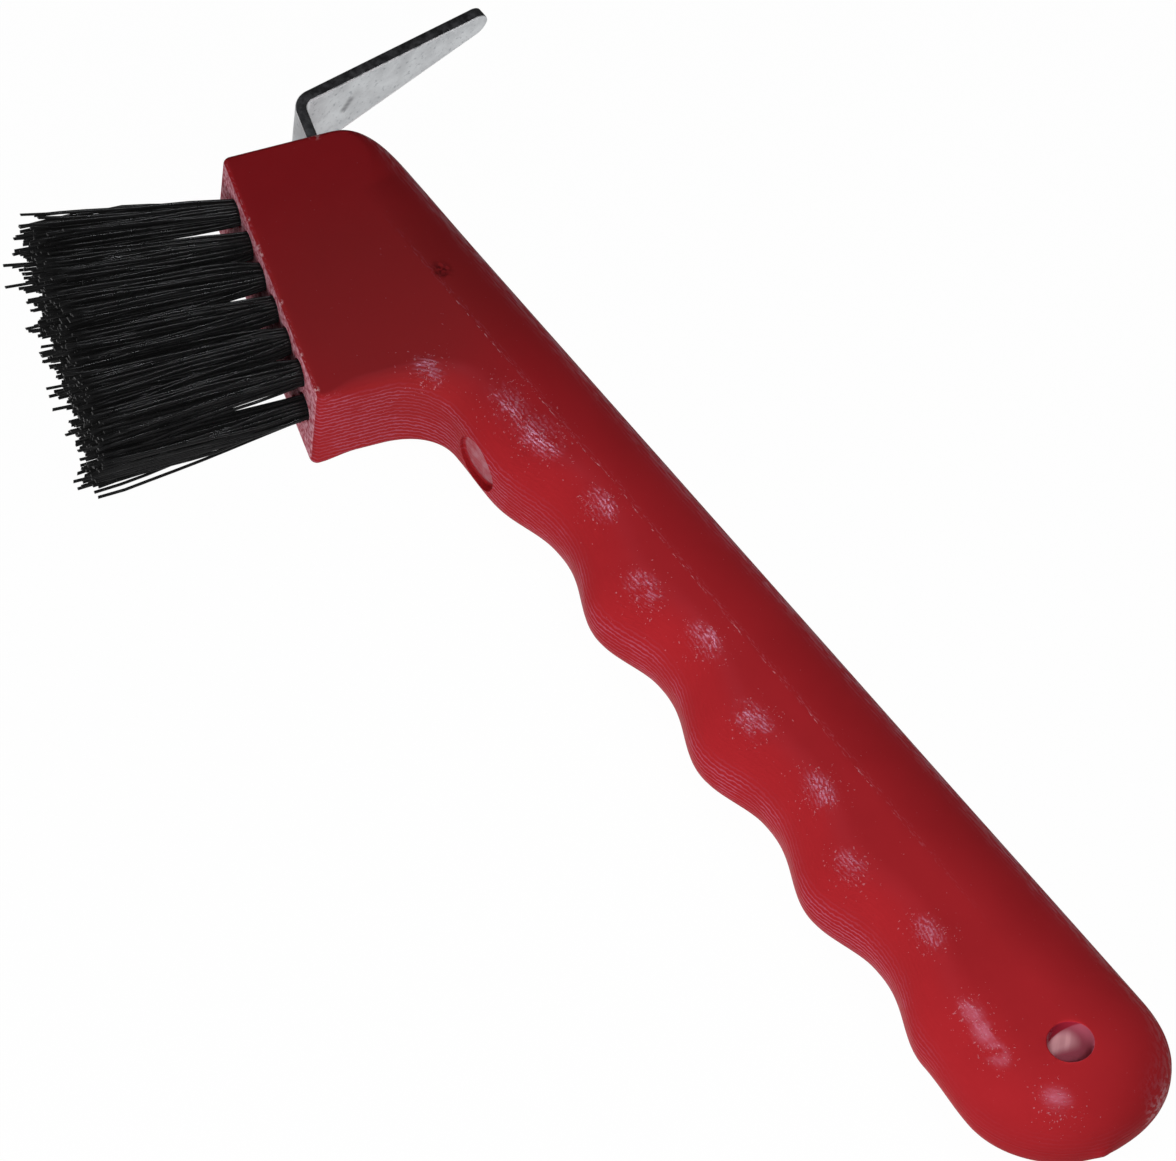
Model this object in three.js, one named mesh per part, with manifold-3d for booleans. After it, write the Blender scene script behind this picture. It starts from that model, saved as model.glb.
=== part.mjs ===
// Hoof pick with a brush: a one-piece moulded handle, a bent steel hook and a staple-set brush.
//
// Millimetres, +Z up. The pick lies on its side: +X runs along the grip to the hanging hole, the
// straight back of the grip looks along +Y, the finger grooves and the brush look along -Y, and Z is
// the thickness. The drawing below is made about the corner where the head's top would meet the back,
// with z = 0 at the parting line. The last lines move everything so that the origin lies under the
// middle of the whole pick, on the surface that it rests on.

import * as THREE from "three";
import { mergeGeometries, mergeVertices } from "three/addons/utils/BufferGeometryUtils.js";
import Module from "manifold-3d";

const wasm = await Module();
wasm.setup();

// ---------------------------------------------------------------- driving dimensions

const FIT = 0.3;                    // clearance between pieces that touch

// moulding
const THICKNESS = 15.5;             // side face to side face
const PARTING_LAND = 0.8;           // flat strip left at the mould's parting line
const HANDLE_LENGTH = 171;          // head corner to the end of the grip
const LEAST_FLAT = 0.8;             // side face that is always left between two roundings

// head
const HEAD_LEAN = THREE.MathUtils.degToRad(18.5);
const HEAD_TOP = 21.6;              // head corner to brush face
const BRUSH_FACE = 38;              // length of the brush face
const HEAD_CORNER = 1;              // plan radius of the two brush face corners
const HEAD_EDGE = 0.7;              // edge rounding round the brush face
const BACK_CORNER = 10.4;           // plan radius where the head meets the back
const BACK_FADE = 0.9;              // share of that corner over which the back's rounding fades out
const UNDERSIDE_EDGE = 2;           // edge rounding under the head
const UNDERSIDE_FADE = 0.6;         // share of the underside over which that rounding grows
const NECK_RADIUS = 8;              // plan radius of the inside corner under the head

// grip
const NECK_WIDTH = 18.4;            // just behind the inside corner
const NECK_CREST_WIDTH = 19.1;      // the low swelling before the first groove
const NECK_CREST_RUN = 8.5;         // from the narrowest place to that swelling
const NECK_CREST_SHARE = 0.3;       // how far the swelling's rounding is on the way to the grip's
const FIRST_VALLEY_RUN = 11.3;      // from the swelling to the first groove
const GROOVE_COUNT = 4;
const VALLEY_WIDTH = 17.65;         // width at the first groove
const WIDTH_GAIN = 1.74;            // gain in width from one groove to the next
const GROOVE_DEPTH = 3.95;          // crest above the groove before it
const GROOVE_PITCH = 23.3;          // first groove to second
const PITCH_GAIN = 0.8;             // gain in pitch from one groove to the next
const CREST_SHARE = 0.58;           // share of a pitch from a groove to its crest
const LATE_RISE = 1.22;             // above 1, a groove rises to its crest late and steeply
const END_WIDTH = 27.5;             // width where the end cap starts
const END_CAP = 14;                 // length of the end cap
const END_POWER_BACK = 2.35;        // fullness of the cap on the back (2 is an ellipse)
const END_POWER_GRIP = 1.86;        // fullness of the cap on the grooved side
const BACK_ROUND_HEAD = 9;          // width of the back's rounding at the head
const BACK_ROUND_END = 12;          // width of the back's rounding at the end
const GRIP_ROUND = 8;               // width of the grooved side's rounding
const NECK_ROUND = 6;               // width of that rounding at the neck
const NECK_DROP = 4.2;              // depth of that rounding at the neck, below the side face
const GRIP_ROUND_DAMPING = 0.35;    // share of a groove that fades out on the way to the side face

// hanging hole and gate recess
const HOLE_DIAMETER = 5.9;
const HOLE_FLARE = 0.4;             // rounding of the hole's rim
const HOLE_FROM_END = 11.6;
const GATE_DIAMETER = 7.6;
const GATE_DEPTH = 1.1;
const GATE_FROM_NECK = 4.9;         // behind the narrowest place of the neck

// hook: a flat strip, bent once and tapered to a round tip
const STRIP_THICKNESS = 1.5;
const STRIP_WIDTH = 12.5;
const STRIP_TANG = 17;              // length inside the head
const STRIP_STEM = 6.1;             // head to the corner of the bend
const STRIP_BEND_RADIUS = 2.2;      // on the middle of the strip
const HOOK_REACH = 29.8;            // corner of the bend to the tip
const HOOK_TIP_RADIUS = 1.6;
const HOOK_CENTRE = 12.3;           // brush face to the middle of the tang
const STRIP_EDGE = 0.2;             // broken edge of the strip

// brush
const ROW_HOLES = [6, 7, 6];        // near row, middle row, far row
const TUFT_PITCH = 5;
const ROW_PITCH = 4.1;
const FIRST_HOLE = 3.85;            // top of the brush face to the first hole of the longest row
const HOLE_DEPTH = 10.4;            // tuft holes, from the brush face
const ROOT_DIAMETER = 3.2;          // bundle of doubled filaments in its hole
const SLICE_THICKNESS = 1.5;        // slice of the brush face that carries a row
const SLICE_MARGIN = 1.2;           // brush face left round the slices
const FILAMENT_WIDTH = 0.46;        // side of a three-sided strand
const FILAMENT_SPACING = 0.75;      // between strands where they leave the face
const FILAMENT_RINGS = 2;           // rings of strands round the middle one
const STRAND_ROOT = 0.6;            // how deep a strand starts in its slice
const BRISTLE_LENGTH = 26.7;
const TRIM_SLOPE = 0.07;            // the trimmed end leans this much against the brush face
const BRISTLE_RAGGED = 0.5;         // uneven trim, up and down
const FAN_ALONG = 1.23;             // spread of the brush at its tips, along the face
const FAN_ACROSS = 1.1;             // and across it
const FAN_SHIFT = -1.1;             // tips lie this much nearer the hook
const TUFT_SPREAD = 1.55;           // spread of one tuft at its tips

// staples that hold the tufts
const ANCHOR_HEIGHT = 1.8;
const ANCHOR_THICKNESS = 0.4;
const ANCHOR_WIDTH = 2.6;

// facets: how finely each curve is cut
const ROUND_STEPS = 5;              // edge rounding, from the parting land to the side face
const CORNER_STEPS = 3;             // each corner of the brush face
const UNDERSIDE_STEPS = 4;          // underside of the head
const NECK_STEPS = 8;               // inside corner at the neck
const GRIP_STEP = 2;                // length of a facet along the grooves
const CAP_STEPS = 20;               // end cap
const BACK_STEPS = 14;              // straight back
const BACK_CORNER_STEPS = 10;       // corner where the head meets the back
const HOLE_SIDES = 24;              // hanging hole and gate recess
const FLARE_STEPS = 4;              // rounding of the hanging hole's rim
const BEND_STEPS = 8;               // bend of the hook
const TIP_STEPS = 6;                // round tip of the hook
const ROOT_SIDES = 10;              // tuft roots and their holes

// ---------------------------------------------------------------- materials

const redPlastic = new THREE.MeshStandardMaterial({ color: 0xa3161f, roughness: 0.45, metalness: 0 });
const zincSteel = new THREE.MeshStandardMaterial({ color: 0xb4b8bb, roughness: 0.42, metalness: 0.9 });
const blackNylon = new THREE.MeshStandardMaterial({ color: 0x121212, roughness: 0.4, metalness: 0 });
const stapleWire = new THREE.MeshStandardMaterial({ color: 0x9c9a94, roughness: 0.5, metalness: 0.9 });

// ---------------------------------------------------------------- small helpers

const quarter = Math.PI / 2;
const flat = (x, y) => new THREE.Vector2(x, y);
const leftOf = (direction) => flat(-direction.y, direction.x);
const smooth = (t) => THREE.MathUtils.smoothstep(t, 0, 1);
const mix = THREE.MathUtils.lerp;

/** A closed geometry as a solid that can be joined and cut. */
function solid(geometry) {
  const bare = geometry.clone();
  bare.deleteAttribute("normal");
  bare.deleteAttribute("uv");
  const merged = mergeVertices(bare, 1e-5);
  return new wasm.Manifold(new wasm.Mesh({
    numProp: 3,
    vertProperties: new Float32Array(merged.attributes.position.array),
    triVerts: new Uint32Array(merged.index.array),
  }));
}

/** The solid back as a geometry. */
function geometryOf(body) {
  const mesh = body.getMesh();
  const geometry = new THREE.BufferGeometry();
  geometry.setAttribute("position", new THREE.Float32BufferAttribute(mesh.vertProperties, 3));
  geometry.setIndex(Array.from(mesh.triVerts));
  geometry.computeVertexNormals();
  return geometry;
}

/** Rings of points, each the same count, skinned into one closed tube with two flat ends. */
function skin(rings, endTriangles) {
  const count = rings[0].length;
  const index = [];
  for (let r = 0; r + 1 < rings.length; r++) {
    for (let i = 0; i < count; i++) {
      const a = r * count + i;
      const b = r * count + (i + 1) % count;
      index.push(a, b, b + count, a, b + count, a + count);
    }
  }
  const last = (rings.length - 1) * count;
  for (const [a, b, c] of endTriangles) {
    index.push(c, b, a);
    index.push(last + a, last + b, last + c);
  }
  const geometry = new THREE.BufferGeometry();
  const positions = rings.flat().flatMap((p) => [p.x, p.y, p.z]);
  geometry.setAttribute("position", new THREE.Float32BufferAttribute(positions, 3));
  geometry.setIndex(index);
  return geometry;
}

/** Whatever make returns at each step of an arc, from its unit ray and the share of the arc done. */
function arc(from, to, steps, make) {
  return Array.from({ length: steps + 1 }, (_, i) => {
    const angle = mix(from, to, i / steps);
    return make(flat(Math.cos(angle), Math.sin(angle)), i / steps);
  });
}

// ---------------------------------------------------------------- the brush face's frame

const alongFace = flat(Math.cos(HEAD_LEAN), -Math.sin(HEAD_LEAN));
const outOfFace = flat(-Math.sin(HEAD_LEAN), -Math.cos(HEAD_LEAN));
const faceTop = outOfFace.clone().multiplyScalar(HEAD_TOP);

/** A point of the drawing, given from the top of the brush face: along it and out of it. */
function faceFlat(along, out) {
  return faceTop.clone().addScaledVector(alongFace, along).addScaledVector(outOfFace, out);
}

/** The same in space: along the face, out of it and across it. */
function fromFace(along, out, across) {
  const p = faceFlat(along, out);
  return new THREE.Vector3(p.x, p.y, across);
}

/** Turns a shape drawn with x along the face and -y out of it into the face's place. */
function facePlace(origin) {
  const turn = new THREE.Matrix4().makeRotationZ(-HEAD_LEAN);
  return turn.setPosition(origin);
}

/** A box in the face's frame, from its lowest to its highest along, out and across. */
function faceBox(low, high) {
  const box = new THREE.BoxGeometry(high[0] - low[0], high[1] - low[1], high[2] - low[2]);
  const middle = low.map((value, i) => (value + high[i]) / 2);
  return box.applyMatrix4(facePlace(fromFace(...middle)));
}

// ---------------------------------------------------------------- layout of the grip

/** Deepest rounding: from the side face down to the land at the parting line. */
const fullDrop = (THICKNESS - PARTING_LAND) / 2;

/** Where the end cap starts. */
const capStart = HANDLE_LENGTH - END_CAP;

/** The inside corner at the neck: length of underside before it, and where it ends on the grip. */
function neckLayout() {
  const faceBottom = faceFlat(BRUSH_FACE, 0);
  const tangent = NECK_RADIUS * Math.tan((quarter - HEAD_LEAN) / 2);
  const reach = (NECK_WIDTH + faceBottom.y) / outOfFace.y;
  return { underside: reach - tangent, start: faceBottom.x - outOfFace.x * reach + tangent };
}

const neck = neckLayout();

/** A place on the grip. Wave is 0 in a groove and 1 on a crest; share is 0 at the neck. */
function gripStation(x, width, wave, share, late = 1) {
  const damping = share * GRIP_ROUND_DAMPING * GROOVE_DEPTH * (wave - 0.5);
  const round = mix(NECK_ROUND, GRIP_ROUND, share) + damping;
  return { x, width, round, drop: mix(NECK_DROP, fullDrop, share), late };
}

/** The grip from the neck to the end cap: a low swelling, then grooves and crests in turn. */
function gripStations() {
  const swelling = neck.start + NECK_CREST_RUN;
  const stations = [
    gripStation(neck.start, NECK_WIDTH, 0.5, 0),
    gripStation(swelling, NECK_CREST_WIDTH, 0.5, NECK_CREST_SHARE),
  ];
  let x = swelling + FIRST_VALLEY_RUN;
  for (let i = 0; i < GROOVE_COUNT; i++) {
    const pitch = GROOVE_PITCH + PITCH_GAIN * i;
    const width = VALLEY_WIDTH + WIDTH_GAIN * i;
    stations.push(gripStation(x, width, 0, 1, LATE_RISE));
    stations.push(gripStation(x + pitch * CREST_SHARE, width + GROOVE_DEPTH, 1, 1));
    x += pitch;
  }
  stations.push(gripStation(capStart, END_WIDTH, 1, 1));
  return stations;
}

const stations = gripStations();

/** The grip at x, in half cosines from groove to crest to groove, its roundings within its width. */
function gripAt(x) {
  let i = 0;
  while (i + 2 < stations.length && x > stations[i + 1].x) i++;
  const [a, b] = [stations[i], stations[i + 1]];
  const t = THREE.MathUtils.clamp((x - a.x) / (b.x - a.x), 0, 1) ** a.late;
  const s = (1 - Math.cos(Math.PI * t)) / 2;
  const width = mix(a.width, b.width, s);
  const front = mix(a.round, b.round, s);
  const back = mix(BACK_ROUND_HEAD, BACK_ROUND_END, THREE.MathUtils.clamp(x / HANDLE_LENGTH, 0, 1));
  const fit = Math.min(1, (width - LEAST_FLAT) / (back + front));
  return { width, front: front * fit, back: back * fit, drop: mix(a.drop, b.drop, s) };
}

// ---------------------------------------------------------------- outline of the moulding

/** A place on the outline: its edge at the parting line, the rim of its side face, and a drop. */
function outlinePlace(edge, inward, round, drop) {
  return { edge, rim: edge.clone().addScaledVector(inward, round), drop };
}

/** The brush face and its two corners. */
function faceOutline() {
  const outAngle = Math.atan2(outOfFace.y, outOfFace.x);
  const corner = (along, from) => {
    const centre = faceFlat(along, -HEAD_CORNER);
    return arc(from, from + quarter, CORNER_STEPS, (ray) => {
      const edge = centre.clone().addScaledVector(ray, HEAD_CORNER);
      return outlinePlace(edge, ray.clone().negate(), HEAD_EDGE, HEAD_EDGE);
    });
  };
  return [...corner(HEAD_CORNER, outAngle - quarter), ...corner(BRUSH_FACE - HEAD_CORNER, outAngle)];
}

/** The underside of the head and the inside corner at the neck. */
function undersideOutline() {
  const places = [];
  const inward = alongFace.clone().negate();
  for (let i = 1; i < UNDERSIDE_STEPS; i++) {
    const share = i / UNDERSIDE_STEPS;
    const round = mix(HEAD_EDGE, UNDERSIDE_EDGE, smooth(share / UNDERSIDE_FADE));
    const edge = faceFlat(BRUSH_FACE, -mix(HEAD_CORNER, neck.underside, share));
    places.push(outlinePlace(edge, inward, round, round));
  }
  const centre = flat(neck.start, -NECK_WIDTH - NECK_RADIUS);
  const grip = gripAt(neck.start);
  return places.concat(arc(Math.PI - HEAD_LEAN, quarter, NECK_STEPS, (ray, share) => {
    const edge = centre.clone().addScaledVector(ray, NECK_RADIUS);
    const round = mix(UNDERSIDE_EDGE, grip.front, smooth(share));
    return outlinePlace(edge, ray, round, mix(UNDERSIDE_EDGE, grip.drop, smooth(share)));
  }));
}

/** The grooved side of the grip. */
function grooveOutline() {
  const places = [];
  const steps = Math.round((capStart - neck.start) / GRIP_STEP);
  for (let i = 1; i < steps; i++) {
    const x = mix(neck.start, capStart, i / steps);
    const { width, front, drop } = gripAt(x);
    places.push(outlinePlace(flat(x, -width), flat(0, 1), front, drop));
  }
  return places;
}

/** The end cap: one full curve for its edge and a smaller one for the rim of the side face. */
function capOutline() {
  const { front, back } = gripAt(capStart);
  const half = END_WIDTH / 2;
  const rimLength = END_CAP - (front + back) / 2;
  return arc(-quarter, quarter, CAP_STEPS, (ray) => {
    const power = 2 / (ray.y < 0 ? END_POWER_GRIP : END_POWER_BACK);
    const across = Math.sign(ray.y) * Math.abs(ray.y) ** power;
    const along = Math.abs(ray.x) ** power;
    const rimHalf = half - (ray.y < 0 ? front : back);
    const edge = flat(capStart + END_CAP * along, half * across - half);
    const rim = flat(capStart + rimLength * along, rimHalf * across - half);
    return { edge, rim, drop: fullDrop };
  });
}

/** The straight back, and the large corner down to the top of the head. */
function backOutline() {
  const places = [];
  const corner = BACK_CORNER * Math.tan((quarter - HEAD_LEAN) / 2);
  for (let i = 1; i < BACK_STEPS; i++) {
    const x = mix(capStart, corner, i / BACK_STEPS);
    places.push(outlinePlace(flat(x, 0), flat(0, -1), gripAt(x).back, fullDrop));
  }
  const backRound = Math.min(gripAt(corner).back, BACK_CORNER - LEAST_FLAT);
  const centre = flat(corner, -BACK_CORNER);
  return places.concat(arc(quarter, Math.PI - HEAD_LEAN, BACK_CORNER_STEPS, (ray, share) => {
    const edge = centre.clone().addScaledVector(ray, BACK_CORNER);
    const fade = smooth(share / BACK_FADE);
    const round = mix(backRound, HEAD_EDGE, fade);
    return outlinePlace(edge, ray.clone().negate(), round, mix(fullDrop, HEAD_EDGE, fade));
  }));
}

/** The moulding before anything is cut out of it: rings from side face to side face. */
function mouldingBlank() {
  const outline = [faceOutline, undersideOutline, grooveOutline, capOutline, backOutline]
    .flatMap((part) => part());
  const triangles = THREE.ShapeUtils.triangulateShape(outline.map((place) => place.rim), []);
  const ring = (step, side) => outline.map(({ edge, rim, drop }) => {
    const angle = quarter * (step / ROUND_STEPS);
    const p = edge.clone().lerp(rim, 1 - Math.cos(angle));
    return new THREE.Vector3(p.x, p.y, side * (THICKNESS / 2 - drop * (1 - Math.sin(angle))));
  });
  const rings = [];
  for (let step = ROUND_STEPS; step >= 0; step--) rings.push(ring(step, -1));
  for (let step = 0; step <= ROUND_STEPS; step++) rings.push(ring(step, 1));
  return solid(skin(rings, triangles));
}

/** The hanging hole, its rim rounded at both side faces. */
function hangingHole() {
  const radius = HOLE_DIAMETER / 2;
  const face = THICKNESS / 2;
  const above = arc(quarter, 0, FLARE_STEPS, (ray) =>
    flat(radius + HOLE_FLARE * (1 - ray.y), face - HOLE_FLARE * (1 - ray.x)));
  above.push(flat(radius + HOLE_FLARE, face + 1), flat(0, face + 1));
  const below = above.map((p) => flat(p.x, -p.y)).reverse();
  const turned = new THREE.LatheGeometry([...below, ...above], HOLE_SIDES);
  turned.rotateX(quarter);
  turned.translate(HANDLE_LENGTH - HOLE_FROM_END, -END_WIDTH / 2, 0);
  return solid(turned);
}

/** The round recess at the neck where the plastic was fed into the mould. */
function gateRecess() {
  const x = neck.start + GATE_FROM_NECK;
  const floor = GATE_DEPTH - gripAt(x).width;
  const length = GATE_DIAMETER;
  const post = new THREE.CylinderGeometry(GATE_DIAMETER / 2, GATE_DIAMETER / 2, length, HOLE_SIDES);
  post.translate(x, floor - length / 2, 0);
  return solid(post);
}

// ---------------------------------------------------------------- hook

/** Stations of the strip, from inside the head to the tip: middle, direction and half width. */
function stripStations() {
  const stem = alongFace.clone().negate();
  const up = flat(0, 1);
  const turn = quarter - HEAD_LEAN;
  const half = STRIP_WIDTH / 2;
  const entry = faceFlat(0, -HOOK_CENTRE);
  const corner = entry.clone().addScaledVector(stem, STRIP_STEM);
  const bendStart = corner.clone().addScaledVector(stem, -STRIP_BEND_RADIUS * Math.tan(turn / 2));
  const bendCentre = bendStart.clone().addScaledVector(leftOf(stem), -STRIP_BEND_RADIUS);
  const strip = [{ middle: entry.clone().addScaledVector(stem, -STRIP_TANG), direction: stem, half }];
  for (let i = 0; i <= BEND_STEPS; i++) {
    const direction = stem.clone().rotateAround(flat(0, 0), -turn * (i / BEND_STEPS));
    const middle = bendCentre.clone().addScaledVector(leftOf(direction), STRIP_BEND_RADIUS);
    strip.push({ middle, direction, half });
  }
  const tipCentre = corner.clone().addScaledVector(up, HOOK_REACH - HOOK_TIP_RADIUS);
  for (let i = 0; i <= TIP_STEPS; i++) {
    const angle = quarter * (i / (TIP_STEPS + 0.5));
    const middle = tipCentre.clone().addScaledVector(up, HOOK_TIP_RADIUS * Math.sin(angle));
    strip.push({ middle, direction: up, half: HOOK_TIP_RADIUS * Math.cos(angle) });
  }
  return strip;
}

/** The hook: the strip's section, with broken edges, skinned along its stations. */
function hook() {
  const thin = STRIP_THICKNESS / 2;
  const rings = stripStations().map(({ middle, direction, half }) => {
    const edge = Math.min(STRIP_EDGE, half / 2);
    const corners = [[thin, half - edge], [thin, edge - half], [thin - edge, -half], [edge - thin, -half]];
    const opposite = corners.map(([out, across]) => [-out, -across]);
    return [...opposite, ...corners].map(([out, across]) => {
      const p = middle.clone().addScaledVector(leftOf(direction), -out);
      return new THREE.Vector3(p.x, p.y, across);
    });
  });
  const fan = [1, 2, 3, 4, 5, 6].map((i) => [0, i, i + 1]);
  return skin(rings, fan);
}

/** The slot in the head that takes the strip's tang. */
function hookSlot() {
  const out = STRIP_THICKNESS / 2 + FIT;
  const across = STRIP_WIDTH / 2 + FIT;
  return solid(faceBox([-STRIP_STEM, -HOOK_CENTRE - out, -across],
    [STRIP_TANG + FIT, -HOOK_CENTRE + out, across]));
}

// ---------------------------------------------------------------- brush

const longestRow = Math.max(...ROW_HOLES);

/** Half the width of a row's slice, so that the slices lie side by side with a clearance. */
const sliceHalf = (ROW_PITCH - FIT) / 2;

/** Rows of tufts: each has its place across the face and the places of its holes along it. */
function tuftRows() {
  return ROW_HOLES.map((count, row) => {
    const across = ROW_PITCH * ((ROW_HOLES.length - 1) / 2 - row);
    const start = FIRST_HOLE + (TUFT_PITCH * (longestRow - count)) / 2;
    return { across, holes: Array.from({ length: count }, (_, i) => start + TUFT_PITCH * i) };
  });
}

/** Places of the strands of one tuft, in rings round the middle one. */
function strandPlaces() {
  const places = [flat(0, 0)];
  for (let ring = 1; ring <= FILAMENT_RINGS; ring++) {
    for (let i = 0; i < 6 * ring; i++) {
      const angle = (2 * Math.PI * (i + ring / 2)) / (6 * ring);
      places.push(flat(Math.cos(angle), Math.sin(angle)).multiplyScalar(FILAMENT_SPACING * ring));
    }
  }
  return places;
}

/** A post in a tuft hole, from one depth to another; depths are negative distances out. */
function post(along, across, diameter, from, to) {
  const shape = new THREE.CylinderGeometry(diameter / 2, diameter / 2, to - from, ROOT_SIDES);
  return shape.applyMatrix4(facePlace(fromFace(along, (from + to) / 2, across)));
}

/** One three-sided strand, turned about itself, from inside its slice to its trimmed tip. */
function strand(root, tip, turn) {
  const radius = FILAMENT_WIDTH / Math.sqrt(3);
  const ringAt = (centre) => [0, 1, 2].map((i) => {
    const angle = 2 * Math.PI * (turn + i / 3);
    return fromFace(centre.x + radius * Math.cos(angle), centre.y, centre.z + radius * Math.sin(angle));
  });
  return skin([ringAt(root), ringAt(tip)], [[0, 1, 2]]);
}

/** All strands of a row, spread from their holes to the trimmed end of the brush. */
function rowStrands({ across, holes }, row) {
  const middle = FIRST_HOLE + (TUFT_PITCH * (longestRow - 1)) / 2;
  const golden = (Math.sqrt(5) - 1) / 2;
  const strands = [];
  for (const [tuft, hole] of holes.entries()) {
    for (const [i, place] of strandPlaces().entries()) {
      const uneven = ((i + 7 * tuft + 3 * row) * golden) % 1;
      const root = new THREE.Vector3(hole + place.x, -STRAND_ROOT, across + place.y);
      const along = middle + (hole - middle) * FAN_ALONG + place.x * TUFT_SPREAD + FAN_SHIFT;
      const out = BRISTLE_LENGTH + TRIM_SLOPE * (along - middle) + BRISTLE_RAGGED * (2 * uneven - 1);
      const tip = new THREE.Vector3(along, out, across * FAN_ACROSS + place.y * TUFT_SPREAD);
      strands.push(strand(root, tip, uneven));
    }
  }
  return strands;
}

/** A row of the brush: its slice of the face, the tufts' roots in their holes, and the strands. */
function brushRow(layout, row) {
  const low = [SLICE_MARGIN + FIT, -SLICE_THICKNESS, layout.across - sliceHalf];
  const high = [BRUSH_FACE - SLICE_MARGIN - FIT, 0, layout.across + sliceHalf];
  let body = solid(faceBox(low, high));
  const rootEnd = -HOLE_DEPTH + FIT;
  const slit = ANCHOR_THICKNESS / 2 + FIT;
  const slitTop = rootEnd + ANCHOR_HEIGHT + 2 * FIT;
  for (const hole of layout.holes) {
    const root = post(hole, layout.across, ROOT_DIAMETER, rootEnd, -SLICE_THICKNESS / 2);
    const fold = faceBox([hole - ROOT_DIAMETER, rootEnd - FIT, layout.across - slit],
      [hole + ROOT_DIAMETER, slitTop, layout.across + slit]);
    body = body.add(solid(root)).subtract(solid(fold));
  }
  return geometryOf(body.add(solid(mergeGeometries(rowStrands(layout, row)))));
}

/** The pocket in the brush face and the blind holes below it. */
function brushCuts() {
  const rows = tuftRows();
  const outer = Math.max(...rows.map((row) => row.across)) + sliceHalf + FIT;
  const low = [SLICE_MARGIN, -SLICE_THICKNESS - FIT, -outer];
  let cuts = solid(faceBox(low, [BRUSH_FACE - SLICE_MARGIN, FIT, outer]));
  for (const { across, holes } of rows) {
    for (const hole of holes) {
      const bore = post(hole, across, ROOT_DIAMETER + 2 * FIT, -HOLE_DEPTH, -SLICE_THICKNESS);
      cuts = cuts.add(solid(bore));
    }
  }
  return cuts;
}

/** One staple: a flat cut of wire that stands in the fold of its tuft. */
function anchor(hole, across) {
  const low = -HOLE_DEPTH + FIT;
  return faceBox([hole - ANCHOR_WIDTH / 2, low, across - ANCHOR_THICKNESS / 2],
    [hole + ANCHOR_WIDTH / 2, low + ANCHOR_HEIGHT, across + ANCHOR_THICKNESS / 2]);
}

// ---------------------------------------------------------------- assembly

const pick = new THREE.Group();

function place(name, geometry, material) {
  const mesh = new THREE.Mesh(geometry, material);
  mesh.name = name;
  pick.add(mesh);
}

const handleCuts = [hangingHole(), gateRecess(), hookSlot(), brushCuts()];
place("handle", geometryOf(mouldingBlank().subtract(wasm.Manifold.union(handleCuts))), redPlastic);
place("hook", hook(), zincSteel);

const rowNames = ["near", "middle", "far"];
let anchorNumber = 0;
for (const [row, layout] of tuftRows().entries()) {
  place(`bristle_row_${rowNames[row]}`, brushRow(layout, row), blackNylon);
  for (const hole of layout.holes) {
    anchorNumber += 1;
    place(`anchor_${String(anchorNumber).padStart(2, "0")}`, anchor(hole, layout.across), stapleWire);
  }
}

// origin under the middle of the pick, on the surface that it lies on
const bounds = new THREE.Box3().setFromObject(pick);
const middle = bounds.getCenter(new THREE.Vector3());
pick.position.set(-middle.x, -middle.y, -bounds.min.z);
pick.updateMatrixWorld(true);

export default pick;
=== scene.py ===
# %% [markdown]
# # Dressing a hoof pick
# A hoof pick is a bent steel hook and a stiff brush, both set in one plastic moulding with a grip.
# The solids come from the part's own drawing and never move. This lesson gives them their looks:
# a finer moulding with its cutter lines and small damages, a hook cut from zinc-plated strip, and a brush
# of single nylon filaments.

import math

import bmesh
import bpy
import numpy as np
from mathutils import Matrix, Vector, kdtree


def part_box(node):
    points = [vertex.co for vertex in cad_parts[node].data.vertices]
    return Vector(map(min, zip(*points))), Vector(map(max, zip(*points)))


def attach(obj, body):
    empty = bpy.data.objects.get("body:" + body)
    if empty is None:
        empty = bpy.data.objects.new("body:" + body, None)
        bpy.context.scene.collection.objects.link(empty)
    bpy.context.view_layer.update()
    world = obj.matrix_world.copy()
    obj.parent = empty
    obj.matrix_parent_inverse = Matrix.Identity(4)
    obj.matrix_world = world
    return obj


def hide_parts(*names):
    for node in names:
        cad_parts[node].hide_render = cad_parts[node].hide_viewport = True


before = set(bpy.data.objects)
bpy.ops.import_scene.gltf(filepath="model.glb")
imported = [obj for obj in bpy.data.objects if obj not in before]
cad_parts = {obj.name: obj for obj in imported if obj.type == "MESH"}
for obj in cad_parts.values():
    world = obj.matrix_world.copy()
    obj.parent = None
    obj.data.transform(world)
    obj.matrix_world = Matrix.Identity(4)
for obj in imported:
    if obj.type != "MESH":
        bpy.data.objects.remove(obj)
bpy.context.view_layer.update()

# %% [markdown]
# ## One drawing for everything
# The moulding's drawing starts at the corner where the top of the head would meet the straight back,
# in millimetres, with z = 0 at the mould's parting line. The solid handle's box says where that corner
# lies in the scene: its highest y is the back, its highest x the end of the grip.

# %% Drawing to scene
MM = 0.001
THICKNESS = 15.5
HANDLE_LENGTH = 171.0
handle_low, handle_high = (np.array(corner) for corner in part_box("handle"))
ORIGIN = np.array([handle_high[0] - HANDLE_LENGTH * MM, handle_high[1],
                   (handle_low[2] + handle_high[2]) / 2])


def scene_points(drawing):
    """Points of the drawing, in millimetres, as points of the scene, in metres."""
    return np.asarray(drawing, float) * MM + ORIGIN


def scene_point(x, y, z):
    """One point of the drawing as a vector of the scene."""
    return Vector(scene_points([x, y, z]))


print("drawing's corner in the scene, in mm:", np.round(ORIGIN / MM, 2))

# %% [markdown]
# ## The head leans
# The head's top, its brush face and its underside form a block that leans 18.5 degrees against the grip.
# Holes, tufts and the hook's tang all follow that block, so they are placed along the brush face, out of
# it and across it.

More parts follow.
